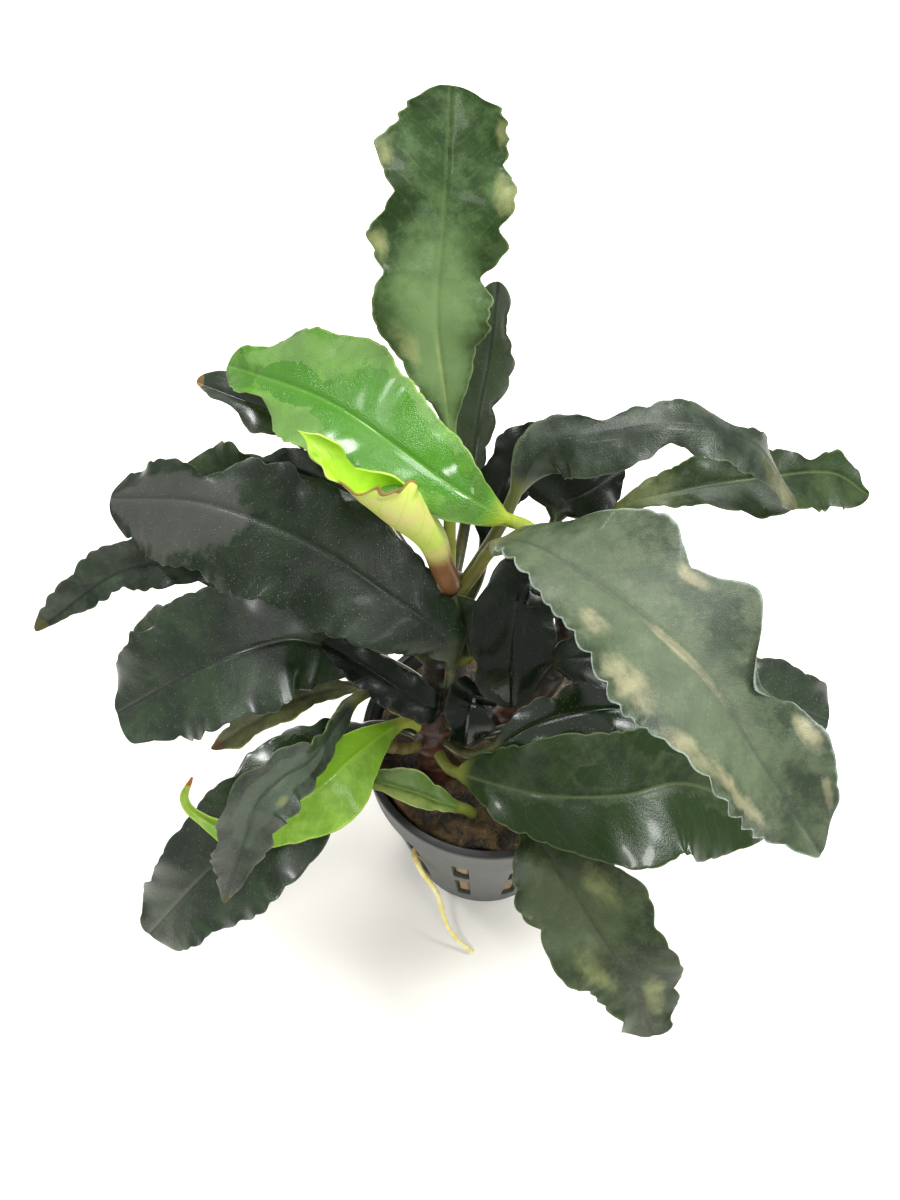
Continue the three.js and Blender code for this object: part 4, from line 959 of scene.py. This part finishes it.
def slightly_lumpy(travel, angle):
    """Relief of thin roots and stalks: slow swellings of a few percent."""
    return 0.08 * np.sin(1.1 * travel) * np.cos(angle) + 0.06 * np.sin(2.7 * travel)


def wave_noise(place, size, seed):
    """Smooth noise from the sum of eight crossing sine waves about size millimetres long."""
    draw = np.random.default_rng(seed)
    directions = unit(draw.normal(size=(8, 3)))
    turns = draw.uniform(0.7, 1.6, 8) * 2 * np.pi / size
    starts = draw.uniform(0, 2 * np.pi, 8)
    return np.sin(place @ directions.T * turns + starts).mean(-1) * 1.6


def pot_radius(height):
    """The pot's outer radius at a height."""
    return np.interp(height, *zip(*POT_PROFILE))


def pierced_shell(outer, inner, keep):
    """Faces of a wall between two grids of points, closed round, with some cells cut out.
    A cell is kept where keep is true, and the wall is closed wherever a kept cell meets a cut
    one or the wall's edge. keep has one column per step round and one row per step up."""
    around, levels = outer.shape[:2]
    points = np.vstack([outer.reshape(-1, 3), inner.reshape(-1, 3)])
    shift = around * levels
    i, j = np.nonzero(keep)
    a, b = i * levels + j, (i + 1) % around * levels + j
    faces = [beside(a, b, b + 1, a + 1), beside(a, a + 1, b + 1, b) + shift]
    i, j = np.nonzero(keep != np.roll(keep, 1, axis=0))
    low = i * levels + j
    faces.append(beside(low, low + 1, low + 1 + shift, low + shift))
    padded = np.pad(keep, ((0, 0), (1, 1)))
    i, j = np.nonzero(padded[:, 1:] != padded[:, :-1])
    here, there = i * levels + j, (i + 1) % around * levels + j
    faces.append(beside(here, there, there + shift, here + shift))
    return points, np.vstack(faces)


def pot_parts():
    """The pot's wall with two rows of windows, and its floor with six slots, as pierced shells."""
    half_window = WINDOW_WIDTH / 2 / WINDOW_RADIUS
    period = 2 * np.pi / WINDOW_COUNT
    rib = np.linspace(half_window - period / 2, period / 2 - half_window, 9)
    window = np.linspace(period / 2 - half_window, period / 2 + half_window, 5)[1:-1]
    turn = np.concatenate([rib, window])
    angle = (turn[None, :] + period * np.arange(WINDOW_COUNT)[:, None]).ravel()[:, None]
    open_cell = np.tile(np.arange(len(turn)) >= len(rib) - 1, WINDOW_COUNT)[:, None]
    levels = np.array([0, 0.7, 3.5, 7, 12, 17, 22, 24, 26, 30, 34, 38, 39.3, 40, 44, 48.4, 49,
                       49.8, 50])[None, :]
    middle = (levels[0, 1:] + levels[0, :-1]) / 2
    in_row = np.any([(middle > low) & (middle < high) for low, high in WINDOW_ROWS], axis=0)
    outer = polar(pot_radius(levels), angle, levels)
    thickness = np.interp(levels, [0, COLLAR_FOOT, POT_HEIGHT], [POT_WALL, POT_WALL, LIP_WALL])
    inner = polar(pot_radius(np.minimum(levels, 48)) - thickness, angle, levels)
    wall = pierced_shell(outer, inner, ~(open_cell & in_row[None, :]))

    spoke = 2 * np.pi / FLOOR_SLOTS
    half_slot = FLOOR_SLOT_WIDTH / 2 / FLOOR_SLOT_RADIUS
    turn = np.concatenate([np.linspace(-half_slot, half_slot, 4),
                           np.linspace(half_slot, spoke - half_slot, 12)[1:-1]])
    angle = (turn[None, :] + spoke * np.arange(FLOOR_SLOTS)[:, None]).ravel()[:, None]
    in_slot = np.tile(np.arange(len(turn)) < 3, FLOOR_SLOTS)[:, None]
    first, last = FLOOR_SLOT_REACH
    reach = np.array([0, 4, first, FLOOR_SLOT_RADIUS, last, 15.4, 16.6])[None, :]
    cut = (reach[0, :-1] >= first) & (reach[0, 1:] <= last)
    floor = pierced_shell(polar(reach, angle, POT_FLOOR), polar(reach, angle, POT_UNDERSIDE),
                          ~(in_slot & cut[None, :]))
    return wall, floor


def mesh_from_parts(name, parts):
    """One object from several lists of points and faces, with doubles merged and normals out."""
    mesh = bpy.data.meshes.new(name)
    build = bmesh.new()
    for points, faces in parts:
        scratch = new_mesh(name + "_part", points, faces)
        build.from_mesh(scratch)
        bpy.data.meshes.remove(scratch)
    bmesh.ops.remove_doubles(build, verts=build.verts, dist=1e-6)
    loose = [vertex for vertex in build.verts if not vertex.link_faces]
    bmesh.ops.delete(build, geom=loose, context="VERTS")
    bmesh.ops.recalc_face_normals(build, faces=build.faces)
    build.to_mesh(mesh)
    build.free()
    shade_smooth(mesh)
    return add_object(name, mesh)


def wool_grid():
    """The wool plug as rings from the middle of its foot to the middle of its top. Its top is
    lumpy, h = 47 + noise, and its side is a little uneven and bulges into the windows, whose
    middles lie where -cos(12 angle) is 1."""
    top = WOOL_TOP - 1.2
    foot = POT_FLOOR + WOOL_GAP
    heights = np.linspace(foot, top, WOOL_WALL_RINGS)
    wall = pot_radius(heights) - POT_WALL - WOOL_GAP - 0.2
    radius = np.concatenate([np.linspace(1, wall[0], WOOL_FOOT_RINGS)[:-1], wall,
                             np.linspace(wall[-1], 0.5, WOOL_TOP_RINGS)[1:]])[:, None]
    height = np.concatenate([np.full(WOOL_FOOT_RINGS - 1, foot), heights,
                             np.full(WOOL_TOP_RINGS - 1, top + 0.4)])[:, None]
    angle = np.linspace(0, 2 * np.pi, WOOL_SIDES, endpoint=False)[None, :]
    inside = sum(smooth((height - low) / 0.6) * smooth((high - height) / 0.6)
                 for low, high in WINDOW_ROWS)
    bulge = WOOL_BULGE * inside * smooth((-np.cos(WINDOW_COUNT * angle) - 0.6) / 0.12)
    rings = polar(radius + bulge, angle, height)
    on_top = smooth((height - top + 0.2) / 0.5)
    lumps = (wave_noise(rings, 9, 3) + 0.55 * wave_noise(rings, 3.2, 4)
             + 0.25 * wave_noise(rings, 1.4, 5))
    sunk = smooth((radius - 17) / 5)
    rings[..., 2] += on_top * (lumps * 0.8 + 0.7 - 0.6 * sunk)
    side = (1 - on_top) * smooth((height - foot) / 3)
    shrink = 1 - side * (0.5 + 0.3 * wave_noise(rings, 3, 6)) * 0.02
    rings[..., :2] *= shrink[..., None]
    tan = side * (0.95 + 0.25 * wave_noise(rings, 4, 8)) * smooth((42 - height) / 4)
    end = np.array([0, 0, rings[-1, :, 2].mean()])
    return rings, np.array([0, 0, foot]), end, {"wool_place": beside(np.clip(tan, 0, 1), 0, 0)}


def fibre_tubes(count):
    """Fibres on the wool: bent three-sided tubes, all of them worked out as one set of arrays."""
    draw = np.random.default_rng(11)
    start = draw.uniform(0, 2 * np.pi, count)[:, None]
    away = 21 * np.sqrt(draw.uniform(0.02, 0.95, count))[:, None]
    heading = draw.uniform(0, 2 * np.pi, count)[:, None]
    length = draw.uniform(3, 8, count)[:, None]
    bend = draw.normal(0, 0.35, count)[:, None]
    step = np.linspace(-0.5, 0.5, FIBRE_STATIONS)[None, :]
    turned = heading + bend * step * 4
    x = away * np.cos(start) + length * step * np.cos(turned)
    y = away * np.sin(start) + length * step * np.sin(turned)
    inside = np.minimum(1, 21.3 / np.maximum(np.hypot(x, y), 1e-6))
    bow = draw.uniform(0.1, 0.8, count)[:, None] * (1 - (2 * step) ** 2)
    z = WOOL_TOP - 0.4 + bow + draw.uniform(-0.7, 0.5, count)[:, None]
    thick = draw.uniform(0.06, 0.13, count)[:, None] * (1.05 - (2 * step) ** 4)
    corner = np.arange(FIBRE_SIDES) * 2 * np.pi / FIBRE_SIDES
    ring = beside(-np.sin(heading[..., None]) * np.cos(corner),
                  np.cos(heading[..., None]) * np.cos(corner), np.sin(corner))
    points = beside(x * inside, y * inside, z)[:, :, None] + ring * thick[..., None, None]
    r, k = np.meshgrid(np.arange(FIBRE_STATIONS - 1), np.arange(FIBRE_SIDES), indexing="ij")
    a, b = r * FIBRE_SIDES + k, r * FIBRE_SIDES + (k + 1) % FIBRE_SIDES
    strip = beside(a, b, b + FIBRE_SIDES, a + FIBRE_SIDES).reshape(-1, 4)
    size = FIBRE_STATIONS * FIBRE_SIDES
    ends = np.array([[2, 1, 0], [size - 3, size - 2, size - 1]])
    first = (np.arange(count) * size)[:, None, None]
    shade = np.repeat(draw.uniform(0, 1, count), size)
    return (points.reshape(-1, 3), (strip[None] + first).reshape(-1, 4),
            (ends[None] + first).reshape(-1, 3), shade)


def hand_over(piece, material, slot, *nodes):
    """Gives a finished piece its material, hangs it under the root body and hides the nodes it
    stands for.
    """
    piece.data.materials.clear()
    piece.data.materials.append(material)
    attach(piece, "root")
    if nodes:
        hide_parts(*nodes)


class PlantSettings(bpy.types.PropertyGroup):
    """Sizes and colours of the plant and its stage that a user would change."""

    row_step: bpy.props.FloatProperty(
        name="Leaf row step", description="Distance between rows of a leaf's mesh",
        default=0.42, min=0.2, max=2.0)
    fibre_count: bpy.props.IntProperty(
        name="Fibres", description="How many fibres lie on the rock wool", default=260, min=0)
    pot_colour: bpy.props.FloatVectorProperty(
        name="Pot colour", description="Colour of the pot's plastic", subtype="COLOR", size=4,
        default=linear(68, 71, 70))
    floor_colour: bpy.props.FloatVectorProperty(
        name="Floor colour", description="Colour of the floor", subtype="COLOR", size=4,
        default=linear(250, 247, 239))
    key_power: bpy.props.FloatProperty(
        name="Key light", description="Power of the large light above and behind the plant",
        default=11.0, subtype="POWER")
    sky_strength: bpy.props.FloatProperty(
        name="Sky strength", description="Strength of the even white surroundings", default=0.55)


class PLANT_OT_pot(bpy.types.Operator):
    """Builds the basket pot"""

    bl_idname = "plant.add_pot"
    bl_label = "Basket pot"

    def execute(self, context):
        pot = mesh_from_parts("basket_pot", pot_parts())
        bevel = pot.modifiers.new("rounded edges", "BEVEL")
        bevel.width = BEVEL_WIDTH * MM
        bevel.segments = 2
        bevel.limit_method = "ANGLE"
        bevel.angle_limit = BEVEL_ANGLE * DEGREE
        pot.data.set_sharp_from_angle(angle=SHARP_ANGLE * DEGREE)
        hand_over(pot, pot_material(context.scene.plant.pot_colour), "pot", "pot")
        return {"FINISHED"}


class PLANT_OT_wool(bpy.types.Operator):
    """Builds the rock wool and the fibres on it"""

    bl_idname = "plant.add_wool"
    bl_label = "Rock wool"

    def execute(self, context):
        material = wool_material()
        hand_over(closed_skin("wool_plug", *wool_grid()), material, "wool", "rock_wool")
        points, quads, ends, shade = fibre_tubes(context.scene.plant.fibre_count)
        mesh = new_mesh("wool_fibres", points, quads, ends)
        store(mesh, "wool_place", np.repeat(shade * 0.25, 3))
        hand_over(add_object("wool_fibres", mesh), material, "wool")
        return {"FINISHED"}


class PLANT_OT_stems(bpy.types.Operator):
    """Builds the creeping stem, its fork and the stub of a cut stalk"""

    bl_idname = "plant.add_stems"
    bl_label = "Stems"

    def execute(self, context):
        rind = stem_material()
        for node, name, route, radii in (("stem", "creeping_stem", STEM, STEM_RADII),
                                         ("side_stem", "forked_stem", SIDE_STEM, SIDE_STEM_RADII)):
            piece = closed_skin(name, *tube_grid(route, radii, STEM_MESH, knobbly))
            hand_over(piece, rind, "stem", node)
        grid = tube_grid(CUT_STALK, CUT_STALK_RADII, CUT_STALK_MESH, slightly_lumpy)
        hand_over(closed_skin("cut_stub", *grid), stub_material(), "sheath", "cut_stalk")
        return {"FINISHED"}


class PLANT_OT_root(bpy.types.Operator):
    """Builds the root that hangs out of the pot"""

    bl_idname = "plant.add_root"
    bl_label = "Root"

    def execute(self, context):
        grid = tube_grid(ROOT, (ROOT_RADIUS, ROOT_RADIUS * ROOT_TAPER), ROOT_MESH, slightly_lumpy)
        hand_over(closed_skin("hanging_root", *grid), root_material(), "root", "root")
        return {"FINISHED"}


class PLANT_OT_leaves(bpy.types.Operator):
    """Builds the leaves of one cluster"""

    bl_idname = "plant.add_leaves"
    bl_label = "Leaves"

    cluster: bpy.props.EnumProperty(
        name="Cluster", description="Which leaves to build",
        items=[(name, name.capitalize(), "The leaves called " + name) for name in CLUSTERS])

    def execute(self, context):
        step = context.scene.plant.row_step
        chosen = [shape for shape in LEAVES + [SHEATH] if shape["cluster"] == self.cluster]
        if not chosen:
            raise RuntimeError("there is no leaf in cluster " + self.cluster)
        for shape in chosen:
            name, finish = shape["name"], shape["finish"]
            material = bpy.data.materials.get("skin_" + finish) or leaf_material(finish)
            grid = scroll_grid(shape) if name == "leaf_rolled" else leaf_grid(shape, step)
            hand_over(closed_skin("grown_" + name, *grid), material, shape["slot"], name)
        return {"FINISHED"}


class PLANT_OT_stage(bpy.types.Operator):
    """Builds the floor, the lights and the camera"""

    bl_idname = "plant.add_stage"
    bl_label = "Stage"

    def execute(self, context):
        settings = context.scene.plant
        corners = FLOOR_HALF_SIZE * np.array([(-1, -1, 0), (1, -1, 0), (1, 1, 0), (-1, 1, 0)])
        floor = add_object("floor", new_mesh("floor", corners, np.array([(0, 1, 2, 3)])))
        floor.data.materials.append(floor_material(settings.floor_colour))

        world = bpy.data.worlds.new("even_white")
        world.use_nodes = True
        sky = world.node_tree.nodes["Background"]
        sky.inputs["Color"].default_value = (1, 1, 1, 1)
        sky.inputs["Strength"].default_value = settings.sky_strength
        context.scene.world = world

        for name, place, diameter, share in LAMPS:
            light = bpy.data.lights.new(name, "AREA")
            light.shape = "DISK"
            light.size = diameter
            light.energy = share * settings.key_power
            place_and_aim(add_object(name, light), place, LIGHTS_AIM)

        lens = bpy.data.cameras.new("camera")
        lens.sensor_width = SENSOR_SIZE
        lens.lens = FOCAL_LENGTH_IN_IMAGE_HEIGHTS * SENSOR_SIZE
        lens.clip_start = NEAREST_SEEN
        camera = add_object("camera", lens)
        camera.location = [value * MM for value in CAMERA_PLACE]
        camera.rotation_euler = ((90 - CAMERA_ELEVATION) * DEGREE, 0, 0)
        context.scene.camera = camera
        context.scene.view_settings.view_transform = "Standard"
        return {"FINISHED"}


def place_and_aim(lamp, place, target):
    """Stands a light at a place and turns its -Z axis to a target."""
    direction = unit(np.array(place, float) - np.array(target, float))
    lamp.location = place
    lamp.rotation_euler = (math.acos(direction[2]), 0,
                           math.atan2(direction[1], direction[0]) + math.pi / 2)


class PLANT_PT_panel(bpy.types.Panel):
    """The plant's operators and settings"""

    bl_idname = "PLANT_PT_panel"
    bl_label = "Bucephalandra"
    bl_space_type = "VIEW_3D"
    bl_region_type = "UI"
    bl_category = "Plant"

    def draw(self, context):
        layout = self.layout
        for name in PlantSettings.__annotations__:
            layout.prop(context.scene.plant, name)
        for operator in (PLANT_OT_pot, PLANT_OT_wool, PLANT_OT_stems, PLANT_OT_root):
            layout.operator(operator.bl_idname)
        for cluster in CLUSTERS:
            button = layout.operator(PLANT_OT_leaves.bl_idname, text="Leaves: " + cluster)
            button.cluster = cluster
        layout.operator(PLANT_OT_stage.bl_idname)


CLASSES = (PlantSettings, PLANT_OT_pot, PLANT_OT_wool, PLANT_OT_stems, PLANT_OT_root,
           PLANT_OT_leaves, PLANT_OT_stage, PLANT_PT_panel)


def register():
    for cls in CLASSES:
        bpy.utils.register_class(cls)
    bpy.types.Scene.plant = bpy.props.PointerProperty(type=PlantSettings)


def unregister():
    del bpy.types.Scene.plant
    for cls in reversed(CLASSES):
        bpy.utils.unregister_class(cls)


def main():
    """Builds the plant piece by piece."""
    register()
    bpy.ops.plant.add_pot()
    bpy.ops.plant.add_wool()
    bpy.ops.plant.add_stems()
    bpy.ops.plant.add_root()
    for cluster in CLUSTERS:
        bpy.ops.plant.add_leaves(cluster=cluster)
    bpy.ops.plant.add_stage()


if __name__ == "__main__":
    main()
